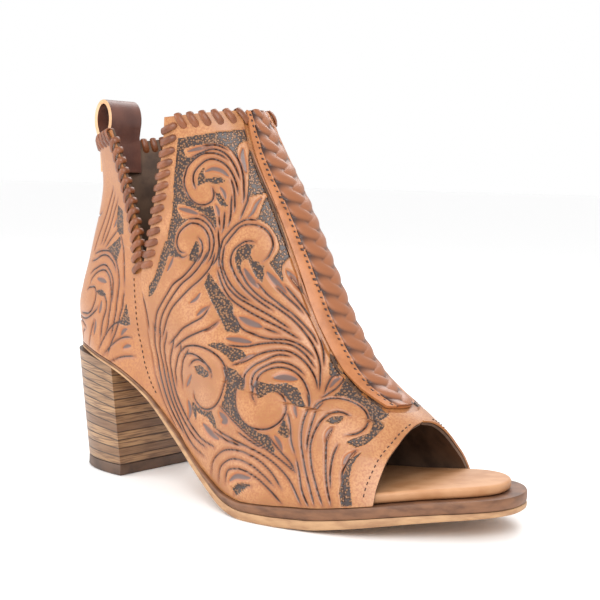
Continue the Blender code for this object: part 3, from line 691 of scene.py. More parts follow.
MID_LINES = (
    ((580, 0), (540, 90), (470, 200), (400, 300), (330, 420), (260, 560), (210, 700), (165, 850),
     (130, 985)),
    ((540, 0), (490, 90), (420, 200), (350, 300), (290, 420), (230, 560), (180, 700), (140, 850),
     (110, 985)),
    ((500, 20), (440, 120), (370, 230), (300, 330), (250, 440), (200, 560), (150, 700), (115, 850),
     (95, 985)),
    ((590, 60), (590, 130), (600, 200), (640, 260), (700, 290), (790, 330), (875, 380)),
    ((570, 110), (575, 200), (600, 280), (660, 330), (740, 365), (830, 395), (912, 433)),
    ((605, 30), (605, 110), (620, 180), (655, 235), (705, 265)),
    ((650, 30), (660, 120), (690, 190), (750, 250), (812, 288)),
    ((690, 60), (710, 150), (760, 215), (840, 260), (915, 315), (960, 380), (985, 470), (975, 570),
     (930, 690), (885, 800)),
    ((770, 130), (810, 190), (870, 235), (915, 272)),
    ((880, 130), (930, 180), (975, 220), (1000, 255)),
    ((850, 230), (920, 270), (975, 330), (1010, 390), (1015, 435)),
    ((940, 110), (1000, 190), (1040, 270), (1050, 370), (1035, 470), (995, 575)),
    ((1000, 50), (1040, 110), (1060, 170), (1070, 220)),
    ((1095, 0), (1100, 200), (1108, 400), (1120, 560), (1160, 680), (1240, 870)),
    ((655, 490), (740, 490), (830, 462), (900, 470), (945, 510), (958, 540)),
    ((540, 640), (620, 600), (700, 540), (780, 500), (860, 490), (910, 530), (935, 610)),
    ((530, 800), (600, 720), (660, 640), (740, 570), (820, 540), (880, 570), (905, 640), (900, 720),
     (880, 790)),
    ((550, 950), (570, 850), (620, 750), (690, 660), (760, 590), (830, 572)),
    ((580, 985), (590, 890), (620, 800), (680, 710), (740, 650), (800, 635), (840, 660), (855, 695)),
    ((600, 985), (605, 900), (640, 800), (700, 720), (760, 680), (810, 690), (830, 740), (825, 830),
     (790, 985)),
    ((230, 985), (270, 900), (330, 820), (400, 770), (450, 768), (480, 800), (488, 870), (475, 985)),
    ((250, 985), (290, 930), (340, 900), (380, 915), (395, 985)),
    ((600, 400), (620, 470), (700, 490)),
    ((730, 425), (808, 432)),
    ((170, 985), (230, 850), (300, 700), (370, 590), (440, 490), (490, 380)),
    ((200, 985), (260, 860), (330, 740), (400, 640), (470, 550), (520, 470)),
    ((350, 30), (360, 70), (390, 85), (420, 60)),
    ((800, 985), (840, 920), (900, 860), (970, 830), (1030, 840), (1060, 890), (1050, 985)),
    ((870, 985), (910, 955), (950, 965)),
    ((875, 860), (930, 800), (1010, 720), (1105, 605), (1020, 640), (950, 730), (900, 820)),
    ((78, 560), (80, 700), (70, 850), (60, 985)),
)
MID_PETALS = (
    (((720, 60), (735, 110), (770, 160)), 2.6),
    (((850, 50), (880, 90), (930, 150)), 2.6),
    (((990, 20), (1020, 60), (1045, 120)), 2.6),
    (((625, 400), (670, 415), (720, 420)), 3.0),
    (((540, 590), (590, 570), (650, 555)), 2.4),
    (((550, 780), (600, 700), (650, 640)), 1.6),
    (((385, 420), (420, 370), (445, 320)), 1.6),
    (((410, 500), (445, 440), (475, 400)), 1.8),
    (((440, 600), (480, 540), (515, 490)), 1.8),
    (((700, 790), (740, 765), (800, 750)), 3.2),
    (((960, 740), (1010, 680), (1060, 640)), 2.0),
    (((280, 230), (310, 160), (330, 110)), 1.5),
)
MID_GROUND = (
    ((520, 140), (545, 200), (575, 270), (605, 320), (598, 400), (615, 470), (600, 520), (545, 535),
     (535, 480), (500, 350), (480, 240)),
    ((540, 650), (600, 640), (610, 680), (560, 740), (530, 780), (515, 740), (480, 720), (430, 720),
     (460, 680), (510, 640)),
    ((300, 0), (345, 0), (340, 60), (300, 110), (270, 200), (235, 300), (190, 420), (150, 520),
     (120, 560), (140, 440), (190, 330), (230, 200), (260, 100)),
    ((1108, 430), (1120, 560), (1150, 650), (1230, 860), (1180, 920), (1090, 985), (1085, 890),
     (1060, 830), (1000, 800), (940, 820), (1000, 760), (1100, 620), (1000, 640), (1040, 540),
     (1080, 470)),
    ((500, 830), (540, 840), (560, 900), (540, 985), (490, 985), (495, 900)),
    ((690, 850), (740, 810), (780, 830), (775, 985), (730, 985), (700, 900), (650, 930), (600, 980),
     (620, 900), (660, 860)),
    ((760, 0), (820, 0), (830, 60), (800, 120), (770, 90)),
)
LOW_LINES = (
    ((105, 0), (95, 150), (85, 300), (78, 450), (75, 600), (80, 720), (110, 840), (150, 900)),
    ((150, 0), (135, 150), (120, 300), (112, 450), (105, 600), (115, 720), (150, 820), (200, 860)),
    ((185, 0), (165, 150), (145, 300), (135, 450), (130, 600), (140, 700), (180, 800), (250, 850),
     (310, 820)),
    ((225, 0), (200, 120), (175, 250), (160, 400), (150, 550), (160, 680), (200, 770), (260, 790),
     (330, 760)),
    ((265, 0), (240, 120), (215, 240), (190, 380), (175, 500), (175, 620), (210, 720), (280, 750),
     (380, 710)),
    ((300, 20), (280, 130), (250, 240), (225, 360), (200, 480), (190, 600)),
    ((340, 40), (310, 130), (280, 230), (260, 330), (240, 440), (225, 560)),
    ((440, 180), (445, 120), (420, 75), (380, 90), (340, 160), (310, 250)),
    ((525, 0), (520, 100), (495, 200), (460, 330), (420, 430), (370, 510), (310, 560), (290, 530),
     (300, 480)),
    ((600, 0), (570, 100), (545, 220), (535, 340), (550, 420), (600, 440), (660, 400), (710, 310),
     (740, 200), (745, 90), (720, 50)),
    ((660, 0), (640, 70), (620, 150), (625, 235)),
    ((860, 0), (840, 120), (800, 250), (770, 380), (750, 500), (730, 640), (715, 780), (700, 900)),
    ((740, 240), (735, 350), (720, 470), (712, 590)),
    ((1010, 140), (970, 115), (920, 150), (870, 230), (830, 330), (790, 460), (760, 600), (740, 760),
     (725, 900)),
    ((910, 60), (870, 130), (840, 220), (810, 330), (780, 450), (760, 540)),
    ((1095, 0), (1105, 60), (1090, 140), (1050, 230), (1000, 300), (940, 340)),
    ((900, 290), (860, 400), (830, 520), (800, 640), (770, 780), (750, 900)),
    ((950, 470), (900, 560), (850, 660), (820, 780), (790, 900)),
    ((890, 440), (850, 540), (810, 660), (780, 780)),
    ((400, 600), (480, 590), (560, 600), (620, 650), (655, 740), (660, 900)),
    ((380, 630), (440, 620), (520, 600)),
    ((330, 890), (360, 790), (420, 690), (490, 640), (560, 650), (600, 710), (620, 810)),
    ((370, 880), (400, 780), (450, 710), (520, 690), (570, 740), (598, 800)),
    ((410, 850), (430, 780), (480, 740), (540, 760), (580, 830), (600, 900)),
    ((440, 890), (470, 830), (520, 815)),
    ((510, 520), (560, 550), (597, 577)),
    ((450, 400), (520, 470), (600, 560), (660, 640), (690, 700)),
    ((640, 470), (660, 560), (685, 640), (690, 695)),
    ((680, 900), (685, 800), (700, 700), (712, 590)),
)
LOW_PETALS = (
    (((440, 520), (460, 490), (440, 460)), 3.4),
    (((320, 650), (360, 655), (400, 650)), 2.6),
    (((240, 720), (250, 670), (245, 620)), 2.2),
    (((250, 520), (280, 430), (310, 330)), 1.8),
    (((770, 260), (775, 180), (785, 110)), 1.6),
    (((670, 560), (672, 510), (665, 460)), 2.0),
    (((850, 420), (870, 350), (895, 290)), 1.6),
    (((870, 600), (900, 540), (950, 480)), 1.8),
    (((430, 830), (460, 790), (520, 770)), 2.4),
)
LOW_GROUND = (
    ((540, 0), (595, 0), (560, 120), (540, 240), (530, 340), (540, 400), (600, 460), (640, 470),
     (645, 560), (635, 590), (590, 530), (520, 450), (460, 390), (490, 280), (520, 150)),
    ((665, 0), (830, 0), (825, 60), (790, 75), (750, 60), (720, 40), (690, 100), (640, 180), (640, 120)),
    ((345, 200), (390, 130), (430, 150), (420, 200), (390, 240), (350, 250)),
    ((1130, 0), (1150, 0), (1150, 200), (1080, 300), (1010, 400), (960, 440), (930, 400), (980, 350),
     (1050, 290), (1100, 180)),
    ((880, 240), (920, 180), (970, 150), (960, 190), (930, 240), (910, 250)),
    ((390, 500), (400, 600), (380, 600), (350, 580), (290, 620), (280, 680), (262, 640), (270, 590),
     (330, 570)),
    ((720, 290), (725, 400), (710, 460), (680, 430), (700, 360)),
    ((970, 480), (900, 600), (860, 700), (840, 780), (810, 900), (780, 900), (800, 800), (840, 700),
     (900, 560)),
    ((440, 860), (470, 815), (520, 805), (480, 850), (450, 890)),
)
REAR_LINES = (
    ((430, 670), (500, 640), (560, 622), (620, 612), (670, 625), (705, 655), (720, 690), (722, 740),
     (712, 800), (700, 860), (690, 920), (675, 990), (655, 1050), (635, 1095)),
    ((400, 720), (470, 690), (520, 660), (580, 640), (640, 643), (680, 662), (700, 690)),
    ((420, 790), (450, 760), (490, 735), (540, 705), (590, 690), (640, 705), (670, 740), (672, 800),
     (668, 870)),
    ((445, 850), (450, 820), (470, 790), (500, 760), (540, 735), (590, 718), (640, 740), (655, 780),
     (660, 820), (655, 900), (645, 960), (625, 1050), (595, 1100)),
    ((420, 895), (440, 875), (470, 862), (500, 850), (525, 870), (530, 910), (520, 960), (500, 1010),
     (460, 1045), (400, 1060), (340, 1068)),
    ((240, 1095), (300, 1090), (400, 1085), (460, 1065), (510, 1030), (545, 990), (560, 960)),
    ((530, 870), (570, 855), (610, 865), (625, 900), (620, 960), (605, 1010), (580, 1070), (555, 1140)),
    ((760, 770), (745, 820), (735, 870), (715, 930), (700, 990), (670, 1060), (630, 1120), (590, 1180)),
    ((740, 510), (765, 560), (770, 640), (765, 740)),
    ((500, 600), (530, 520), (560, 460), (600, 390), (650, 330)),
    ((535, 595), (580, 520), (610, 460), (650, 400), (700, 350)),
    ((570, 600), (610, 560), (660, 520), (700, 490)),
    ((160, 490), (250, 482), (330, 475), (420, 445)),
    ((160, 1120), (250, 1112), (330, 1105), (420, 1120)),
    ((530, 1180), (600, 1100), (680, 1010), (730, 960)),
    ((560, 1190), (640, 1120), (720, 1060), (760, 1040)),
    ((600, 1200), (680, 1150), (760, 1110)),
    ((430, 1190), (480, 1120), (520, 1060)),
    ((300, 1190), (340, 1150), (400, 1130)),
    ((400, 660), (440, 560), (500, 450), (560, 360), (620, 300)),
)
REAR_PETALS = (
    (((520, 790), (566, 782), (610, 778)), 2.4),
    (((570, 1000), (580, 950), (585, 910)), 2.0),
    (((500, 1130), (520, 1090), (530, 1060)), 2.0),
    (((640, 490), (665, 460), (690, 430)), 2.0),
    (((700, 1060), (720, 1030), (740, 1010)), 2.0),
    (((700, 1110), (720, 1095), (740, 1085)), 2.0),
)
REAR_GROUND = (
    ((765, 830), (740, 900), (715, 970), (700, 1000), (740, 990), (768, 960)),
    ((690, 380), (765, 400), (765, 500), (720, 510), (690, 500), (670, 450)),
    ((530, 865), (580, 835), (620, 850), (600, 870), (560, 880)),
    ((590, 605), (660, 560), (730, 515), (740, 560), (700, 640), (660, 612)),
)
# Depths and widths of the carving, in mm
CUT_DEPTH = 0.6
CUT_HALF = 0.5                      # half width of a cut at the surface
GROUND_DEPTH = 0.45                 # the stamped ground is let down this much
SHOULDER = 1.3                      # the leather sinks towards a cut over this distance
SHOULDER_DEPTH = 0.28
PETAL_DEPTH = 0.45
PETAL_SLOPE = 1.6                   # a petal reaches its depth at 1 / this of its half width
FAINTEST_CUT = 0.15                 # share of the depth left at the tip of a cut
TIP_LENGTH = 3.5                    # a cut fades out over this distance
FADED_WIDTH = 0.35                  # a faded cut is drawn this much narrower


def chart_points(chart, strokes):
    """The stroke's points as (turn, level)."""
    left, top, per_turn, per_level = chart
    return np.array([(left + x / per_turn, top - y / per_level) for x, y in strokes])


def smooth_stroke(points, step=0.3):
    """(turn, level) samples every step mm along a smooth curve through the points."""
    shell = surface(points[:, 0], points[:, 1])
    run = np.concatenate([[0], np.cumsum(np.linalg.norm(np.diff(shell, axis=0), axis=1))]) / MM
    run += np.arange(len(run)) * 1e-6
    at = np.linspace(0, run[-1], max(3, int(run[-1] / step)))
    return np.column_stack([flowing(run, points[:, 0], at), flowing(run, points[:, 1], at)]), at


def tree_of(spots):
    """A tree that finds the nearest of these spots."""
    made = kdtree.KDTree(len(spots))
    for k, spot in enumerate(spots):
        made.insert(spot, k)
    made.balance()
    return made


cut_spots = []
cut_fades = []
for chart, strokes in ((TOP_CHART, TOP_LINES), (MID_CHART, MID_LINES), (LOW_CHART, LOW_LINES),
                       (REAR_CHART, REAR_LINES)):
    for stroke in strokes:
        samples, at = smooth_stroke(chart_points(chart, stroke))
        fade = np.clip(np.minimum(at + 1.5, at[-1] - at + 0.4) / TIP_LENGTH, FAINTEST_CUT, 1)
        cut_spots.append(surface(samples[:, 0], samples[:, 1]))
        cut_fades.append(fade)
cut_spots = np.vstack(cut_spots)
cut_fades = np.concatenate(cut_fades)
cut_tree = tree_of(cut_spots)

petal_spots = []
petal_wide = []
for chart, petals in ((TOP_CHART, TOP_PETALS), (MID_CHART, MID_PETALS), (LOW_CHART, LOW_PETALS),
                      (REAR_CHART, REAR_PETALS)):
    for stroke, wide in petals:
        samples, at = smooth_stroke(chart_points(chart, stroke), 0.5)
        petal_spots.append(surface(samples[:, 0], samples[:, 1]))
        petal_wide.append(wide * np.sqrt(np.clip(np.sin(np.pi * (at + 0.5) / (at[-1] + 1)), 0.05, 1)))
petal_spots = np.vstack(petal_spots)
petal_wide = np.concatenate(petal_wide)
petal_tree = tree_of(petal_spots)


def inside(polygon, x, y):
    """Even-odd test of points against a polygon."""
    found = np.zeros(len(x), bool)
    for (x0, y0), (x1, y1) in zip(polygon, np.roll(polygon, -1, axis=0)):
        crosses = (y0 > y) != (y1 > y)
        reach = x0 + (y - y0) * (x1 - x0) / (y1 - y0 if y1 != y0 else 1e-9)
        found ^= crosses & (x < reach)
    return found


def carving(turn, level):
    """Depth in mm, distance to a cut in mm, ground and petal shares at these places."""
    shell = surface(turn, level)
    cut = np.empty(len(shell))
    fade = np.empty(len(shell))
    petal = np.empty(len(shell))
    for k, spot in enumerate(shell):
        _, index, distance = cut_tree.find(spot)
        cut[k] = distance
        fade[k] = cut_fades[index]
        _, index, distance = petal_tree.find(spot)
        petal[k] = 1 - distance / (petal_wide[index] * MM)
    cut = cut / MM
    ground = np.zeros(len(shell), bool)
    for chart, shapes in ((TOP_CHART, TOP_GROUND), (MID_CHART, MID_GROUND), (LOW_CHART, LOW_GROUND),
                          (REAR_CHART, REAR_GROUND)):
        for shape in shapes:
            corners = chart_points(chart, shape)
            ground |= inside(corners, turn, level)
    petal = np.clip(petal, 0, 1)
    groove = fade * np.clip(1 - cut / CUT_HALF, 0, 1)
    shoulder = SHOULDER_DEPTH * fade * np.clip(1 - cut / SHOULDER, 0, 1) ** 2
    pressed = PETAL_DEPTH * smooth_step(petal * PETAL_SLOPE)
    depth = CUT_DEPTH * groove + (shoulder + pressed) * ~ground
    depth = np.maximum(depth, GROUND_DEPTH * ground)
    return depth, cut + (1 - fade) * FADED_WIDTH, ground.astype(float), petal * ~ground


def rear_edge(level):
    """Turn of the front panel's rear edge: the seam below, the notch above."""
    low = through(column(SEAM, 0)[::-1], column(SEAM, 1)[::-1], np.minimum(level, SEAM[0][0]))
    high = through(column(NOTCH, 0)[::-1], column(NOTCH, 2)[::-1], np.maximum(level, NOTCH[-1][0]))
    return np.where(level > NOTCH[-1][0], high, low)


def quarter_edge(level):
    """Turn where the quarter ends at the seam and at the notch."""
    low = through(column(SEAM, 0)[::-1], column(SEAM, 1)[::-1], np.minimum(level, SEAM[0][0]))
    high = through(column(NOTCH, 0)[::-1], column(NOTCH, 1)[::-1], np.maximum(level, NOTCH[-1][0]))
    return np.where(level > NOTCH[-1][0], high, low)


def toe_edge(level):
    """Turn where the front panel ends at the toe opening, and the front centre above it."""
    top = TOE_OPENING[-1][0]
    edge = through(column(TOE_OPENING, 0), column(TOE_OPENING, 1), np.minimum(level, top))
    return np.where(level >= top, 1.0, edge)


FOOT_LIFT = 0.5 * MM                # all but the bottom row stays this much above the sole
FOOT_LIFT_LEVEL = 0.2               # from this level up


def seated(points, level):
    """The same points, lifted clear of the sole as the solid's are."""
    rest = midsole_top_z(points[..., 0]) + GAP
    clear = FOOT_LIFT * np.clip(level / FOOT_LIFT_LEVEL, 0, 1)
    lifted = np.maximum(points[..., 2], rest + clear)
    points[..., 2] = np.where(level < 1e-6, rest, lifted)
    return points


def panel(name, turn, level, depth, back_depth, finish, columns=24):
    """A closed sheet: fine carved face, coarse back. turn and level are grids of rows by columns."""
    rows, across = turn.shape
    normal = outward(turn, level)
    shell = surface(turn, level)
    face = seated(shell - normal * (depth * MM)[..., None], level)
    back = seated(shell - normal * (back_depth * MM)[..., None], level)
    kept = sorted({round(k) for k in np.linspace(0, across - 1, columns)})
    points = list(face.reshape(-1, 3))
    index = -np.ones((rows, across), int)
    for i in range(rows):
        chosen = range(across) if i in (0, rows - 1) else kept
        for j in chosen:
            index[i, j] = len(points)
            points.append(back[i, j])
    grid = np.arange(rows * across).reshape(rows, across)
    faces = []
    for i in range(rows - 1):
        for j in range(across - 1):
            faces.append([grid[i, j], grid[i, j + 1], grid[i + 1, j + 1], grid[i + 1, j]])
    for i in range(rows - 1):
        for a, b in zip(kept, kept[1:]):
            low = list(range(a, b + 1)) if i == 0 else [a, b]
            high = list(range(a, b + 1)) if i == rows - 2 else [a, b]
            faces.append([index[i, j] for j in low[::-1]] + [index[i + 1, j] for j in high])
    for i, turned in ((0, True), (rows - 1, False)):
        for j in range(across - 1):
            side = [grid[i, j], grid[i, j + 1], index[i, j + 1], index[i, j]]
            faces.append(side[::-1] if turned else side)
    for j, turned in ((0, False), (across - 1, True)):
        for i in range(rows - 1):
            side = [grid[i, j], grid[i + 1, j], index[i + 1, j], index[i, j]]
            faces.append(side[::-1] if turned else side)
    faces = [[int(corner) for corner in f] for f in faces]
    return mesh_piece(name, np.array(points), faces, finish, 60)


# Vegetable-tanned cowhide, carved and stamped wet, then antiqued: the dark finish stays in the
# cuts and between the seeds, and a thin top coat gives a soft shine.
DYE_PATCH = 14                      # mm
SEED_PITCH = 1.1                    # mm between stamped seeds
CUT_DARK = (0.2, 0.62)              # mm from a cut, dark to clear
CUT_WASH = (0.45, 1.9)              # mm from a cut, reddish to clear
WASH_SHARE = 0.7
PETAL_RIM = (0.02, 0.35)
PETAL_STAIN_AND_REFLECTION = (0.3, 0.75)
tooled, tree, shader = new_material("tooled_veg_tan_leather")
ground = add(tree, "ShaderNodeAttribute", {}, "Fac", attribute_name="ground")
shade = add(tree, "ShaderNodeAttribute", {}, "Fac", attribute_name="shade")
cut_distance = add(tree, "ShaderNodeAttribute", {}, "Fac", attribute_name="cut")
rear = add(tree, "ShaderNodeAttribute", {}, "Fac", attribute_name="rear")
place = add(tree, "ShaderNodeTexCoord", {}, "Object")
spots = add(tree, "ShaderNodeTexVoronoi", {"Vector": place, "Scale": 1000 / SEED_PITCH}, "Distance")
seed = add(tree, "ShaderNodeMapRange", smooth_share(0.28, 0.62, spots, 1.0, 0.0),
           interpolation_type="SMOOTHSTEP")
field = add(tree, "ShaderNodeMix", {0: seed, 6: linear("#2e1c17"), 7: linear("#8a603f")}, 2,
            data_type="RGBA")
base = linear("#b57e4e")
for share_inputs, over in (
    (smooth_share(0.35, 0.68, leather_grain(tree, DYE_PATCH, 3)), linear("#9c6534")),
    (None, linear("#a8662b")),
    (smooth_share(0.35, 0.7, leather_grain(tree, 0.9)), linear("#9f6238")),
    (smooth_share(*PETAL_RIM, shade), linear("#a55f2e")),
    # Petal floors: real dark stain of the pressed leather, plus a painted grey-mauve reflection of the
    # top coat's gloss.
    (smooth_share(*PETAL_STAIN_AND_REFLECTION, shade), linear("#5f4740")),
    (smooth_share(*CUT_WASH, cut_distance, WASH_SHARE, 0.0), linear("#8a4d26")),
    (smooth_share(0.35, 0.65, ground), field),
    (smooth_share(*CUT_DARK, cut_distance, 1.0, 0.0), linear("#351c15")),
):
    amount = rear
    if share_inputs:
        amount = add(tree, "ShaderNodeMapRange", share_inputs, interpolation_type="SMOOTHSTEP")
    base = add(tree, "ShaderNodeMix", {0: amount, 6: base, 7: over}, 2, data_type="RGBA")
tree.links.new(base, shader.inputs["Base Color"])
shader.inputs["Roughness"].default_value = 0.4
shader.inputs["Coat Weight"].default_value = 0.25
shader.inputs["Coat Roughness"].default_value = 0.3
raised = {"Height": leather_grain(tree, 0.8), "Strength": 0.35, "Distance": 0.1 * MM}
fine_grain = add(tree, "ShaderNodeBump", raised)
seeded = add(tree, "ShaderNodeMath", {0: seed, 1: ground}, operation="MULTIPLY")
raised = {"Height": seeded, "Strength": 0.9, "Distance": 0.5 * MM, "Normal": fine_grain}
tree.links.new(add(tree, "ShaderNodeBump", raised), shader.inputs["Normal"])

FRONT_ROWS = 300
FRONT_COLUMNS = 290
FRONT_BACK = 0.9                    # mm, thickness of the front panel
THINNEST = 0.2                      # mm left under the deepest carving
UNCUT = 3.0                         # mm from a cut, on the plain back of a panel
level_rows = np.linspace(0, LEVELS, FRONT_ROWS)
level = np.repeat(level_rows[:, None], FRONT_COLUMNS, 1)
share = np.linspace(0, 1, FRONT_COLUMNS)[None, :]
first = rear_edge(level_rows)[:, None]
last = toe_edge(level_rows)[:, None]
turn = first + (last - first) * share
depth, cut, ground, shade = carving(turn.ravel(), level.ravel())
step = wall_step(turn + SEAM_WIDTH, level) / MM
face_depth = depth.reshape(turn.shape) + step
back_depth = np.maximum(FRONT_BACK, face_depth + THINNEST)
for name, mirrored in (("front_panel_outer", False), ("front_panel_inner", True)):
    if mirrored:
        made = panel(name, 2 - turn[:, ::-1], level, face_depth[:, ::-1], back_depth[:, ::-1], tooled)
    else:
        made = panel(name, turn, level, face_depth, back_depth, tooled)
    spare = len(made.data.vertices) - turn.size
    for key, values, rest in (("cut", cut, UNCUT), ("ground", ground, 0.0), ("shade", shade, 0.0)):
        grid = values.reshape(turn.shape)
        grid = grid[:, ::-1] if mirrored else grid
        store(made, key, np.concatenate([grid.ravel(), np.full(spare, rest)]))
    store(made, "rear", np.zeros(len(made.data.vertices)))
    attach(made, "root")
    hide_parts("upper")

QUARTER_ROWS = 270
QUARTER_COLUMNS = 330
UNDER_PANEL = 0.012                 # turn by which the quarter runs on under the front panel
QUARTER_BACK = 1.25                 # mm, thickness of the quarter
REAR_TONE = 0.45                    # how far the quarter's dye goes to orange
NOTCH_STEP_SHARE = 0.6              # the step eases off beside the notch
level_rows = np.linspace(0, LEVELS, QUARTER_ROWS)
level = np.repeat(level_rows[:, None], QUARTER_COLUMNS, 1)
edge = quarter_edge(level_rows) + np.where(level_rows < NOTCH[-1][0], UNDER_PANEL, 0)
turn = edge[:, None] * np.linspace(-1, 1, QUARTER_COLUMNS)[None, :]
side = np.abs(turn)
depth, cut, ground, shade = carving(side.ravel(), level.ravel())
behind = quarter_edge(level_rows)[:, None] - side
step = PANEL_STEP / MM * np.clip(1 - behind / PANEL_FADE, 0, 1.06)
step = np.where(level > NOTCH[-1][0] + 0.6, step * NOTCH_STEP_SHARE, step)
face_depth = depth.reshape(turn.shape) + step
back_depth = np.maximum(QUARTER_BACK, face_depth + THINNEST)
quarter = panel("quarter_panel", turn, level, face_depth, back_depth, tooled)
spare = len(quarter.data.vertices) - turn.size
for key, values, rest in (("cut", cut, UNCUT), ("ground", ground, 0.0), ("shade", shade, 0.0)):
    store(quarter, key, np.concatenate([values, np.full(spare, rest)]))
store(quarter, "rear", np.full(len(quarter.data.vertices), REAR_TONE))
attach(quarter, "root")
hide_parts("upper")

# LINING
# Thin leather inside the upper, painted a dark taupe for the shade inside, one sheet behind each panel
# and cut to the same edges.
# Glued to the panels flesh side to flesh side, and sewn along every edge.

LINING_ROWS = 120
LINING_COLUMNS = 90
LINING_DEPTH = 1.3                  # mm from the last's surface to the lining
# Unfinished pigskin lining, quite matt; its brownish tan is painted as a dark taupe, which is painted
# shade inside the boot.
lining_leather = dyed_leather("taupe_lining_painted_shade", "#6b5240", "#4d392c", 0.7, 1.0)
level_rows = np.linspace(0, LEVELS, LINING_ROWS)
level = np.repeat(level_rows[:, None], LINING_COLUMNS, 1)
share = np.linspace(0, 1, LINING_COLUMNS)[None, :]
first = rear_edge(level_rows)[:, None]
turn = first + (toe_edge(level_rows)[:, None] - first) * share
quarter_turn = quarter_edge(level_rows)[:, None] * np.linspace(-1, 1, LINING_COLUMNS)[None, :]
for name, grid in (
    ("lining_outer", turn),
    ("lining_inner", 2 - turn[:, ::-1]),
    ("lining_quarter", quarter_turn),
):
    outer_depth = np.maximum(LINING_DEPTH, wall_step(grid, level) / MM + 0.5)
    made = panel(name, grid, level, outer_depth, np.full(grid.shape, WALL / MM), lining_leather, 60)
    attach(made, "root")

# BRAIDED STRIP
# Plain tan borders with a three-strand braid of reddish lace between them, down the front.
# The strands run through slits along the borders; the strip is sewn on over the let-in wall.

STRIP_CLEARANCE = 0.5 * MM
STRIP_THICKNESS = 1.3 * MM          # of the plain borders
BRAID_RELIEF = 0.9 * MM             # the strands stand out this much more
STRIP_ROWS = 420
STRIP_COLUMNS = 61
BRAID_TURN = 27                   # mm for one full weave of a strand
STRAND_SHARE = 0.42                 # strand radius as a share of the braid's half width
CROWN = 1.1                         # height of a strand's back, as a share of BRAID_RELIEF
CROSSING = 0.7                      # how far a strand climbs over the next
SLIT_PITCH = 2.9                    # mm
SLIT_DEPTH = 0.4                    # mm

# Oiled lace leather over veg-tan borders: reddish brown on the crowns, with painted shade going nearly
# black in the low parts between them.
braid, tree, shader = new_material("braided_lace_leather")
woven = add(tree, "ShaderNodeAttribute", {}, "Fac", attribute_name="woven")
hole = add(tree, "ShaderNodeAttribute", {}, "Fac", attribute_name="hole")
in_lace = add(tree, "ShaderNodeAttribute", {}, "Fac", attribute_name="braid")
base = linear("#b06f41")
lace_tone_painted_shade = add(
    tree,
    "ShaderNodeMix",
    {
        0: add(tree, "ShaderNodeMapRange", smooth_share(0.0, 1.0, woven),
               interpolation_type="SMOOTHSTEP"),
        6: linear("#361a0f"),
        7: linear("#925834"),
    },
    2,
    data_type="RGBA",
)
for share_inputs, over in (
    (smooth_share(0.35, 0.7, leather_grain(tree, 6)), linear("#9c5e32")),
    (smooth_share(0.4, 0.6, in_lace), lace_tone_painted_shade),
    # Painted shade: the slits along the borders are coloured nearly black for the shadow inside them.
    (smooth_share(0.3, 0.7, hole), linear("#3c2018")),
):
    amount = add(tree, "ShaderNodeMapRange", share_inputs, interpolation_type="SMOOTHSTEP")
    base = add(tree, "ShaderNodeMix", {0: amount, 6: base, 7: over}, 2, data_type="RGBA")
tree.links.new(base, shader.inputs["Base Color"])
shader.inputs["Roughness"].default_value = 0.38
raised = {"Height": leather_grain(tree, 0.9), "Distance": 0.12 * MM, "Strength": 0.5}
tree.links.new(add(tree, "ShaderNodeBump", raised), shader.inputs["Normal"])

levels = np.linspace(STRIP[0][0], STRIP[-1][0], STRIP_ROWS)
centre_line = surface(np.full(STRIP_ROWS, 1.0), levels)
run = np.concatenate([[0], np.cumsum(np.linalg.norm(np.diff(centre_line, axis=0), axis=1))]) / MM
places = np.linspace(-1, 1, STRIP_COLUMNS)
edges = np.interp(levels, STRIP_LEVELS, STRIP_TURNS)
turn = 1 + places[None, :] * (1 - edges[:, None])
level = np.repeat(levels[:, None], STRIP_COLUMNS, 1)
half = np.array([strip_half(v, 1) for v in levels])[:, None] / MM
braid_half = np.array([strip_half(v, 2) for v in levels])[:, None] / MM
sideways = places[None, :] * half
height = np.full(turn.shape, -1.0)
radius = braid_half * STRAND_SHARE
for k in range(3):
    angle = 2 * math.pi * (run[:, None] / BRAID_TURN + k / 3)
    path = (braid_half - radius) * np.sin(angle)
    slope = (braid_half - radius) * np.cos(angle) * 2 * math.pi / BRAID_TURN
    distance = np.abs(sideways - path) / np.sqrt(1 + slope**2)
    crown = np.sqrt(np.clip(1 - (distance / radius) ** 2, 0, 1))
    top = np.where(distance < radius, CROSSING * np.sin(2 * angle) + CROWN * crown, -1.0)
    height = np.maximum(height, top)
in_braid = np.abs(sideways) < braid_half
rise = np.where(in_braid, np.clip(height, -0.4, 2) * BRAID_RELIEF / MM / 1.55, 0)
# Share of each strand's height; the material paints shade on the low parts.
woven_share = np.clip((height + 0.1) / 1.6, 0, 1)
slit_phase = np.abs((run[:, None] / SLIT_PITCH) % 1 - 0.5)
by_border = np.abs(np.abs(sideways) - braid_half - 0.9)
holes = ((by_border < 0.55) & (slit_phase < 0.2)).astype(float)
base = (STRIP_CLEARANCE - STRIP_SINK) / MM
top_depth = -(base + STRIP_THICKNESS / MM + rise - SLIT_DEPTH * holes)
strip = panel("braided_front_strip", turn, level, top_depth, np.full(turn.shape, -base), braid, 12)
spare = len(strip.data.vertices) - turn.size
for key, values in (("woven", woven_share), ("hole", holes), ("braid", in_braid.astype(float))):
    store(strip, key, np.concatenate([values.ravel(), np.zeros(spare)]))
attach(strip, "root")
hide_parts("braided_strip")

# WHIP-STITCHED LACE
# Flat strands of brown lace over every edge of the collar and the notches.
# One lace goes through punched holes 6.3 mm in and leans as it passes over the edge.

# Millimetres
STRAND_WIDTH = 3.1
STRAND_THICK = 1.3
STITCH_PITCH = 4.9
HOLE_INSET = 6.3                    # from the edge to the punched hole
LEAN = 3.4                          # the hole lies this far ahead along the edge
STRAND_SIDES = 10
END_TAPER = 0.62                    # a strand narrows to this where it enters the leather

# Oiled latigo lace: brown, with a soft sheen on its crowns.
lace = dyed_leather("brown_lace_leather", "#824a28", "#68381e", 0.4, 0.8)


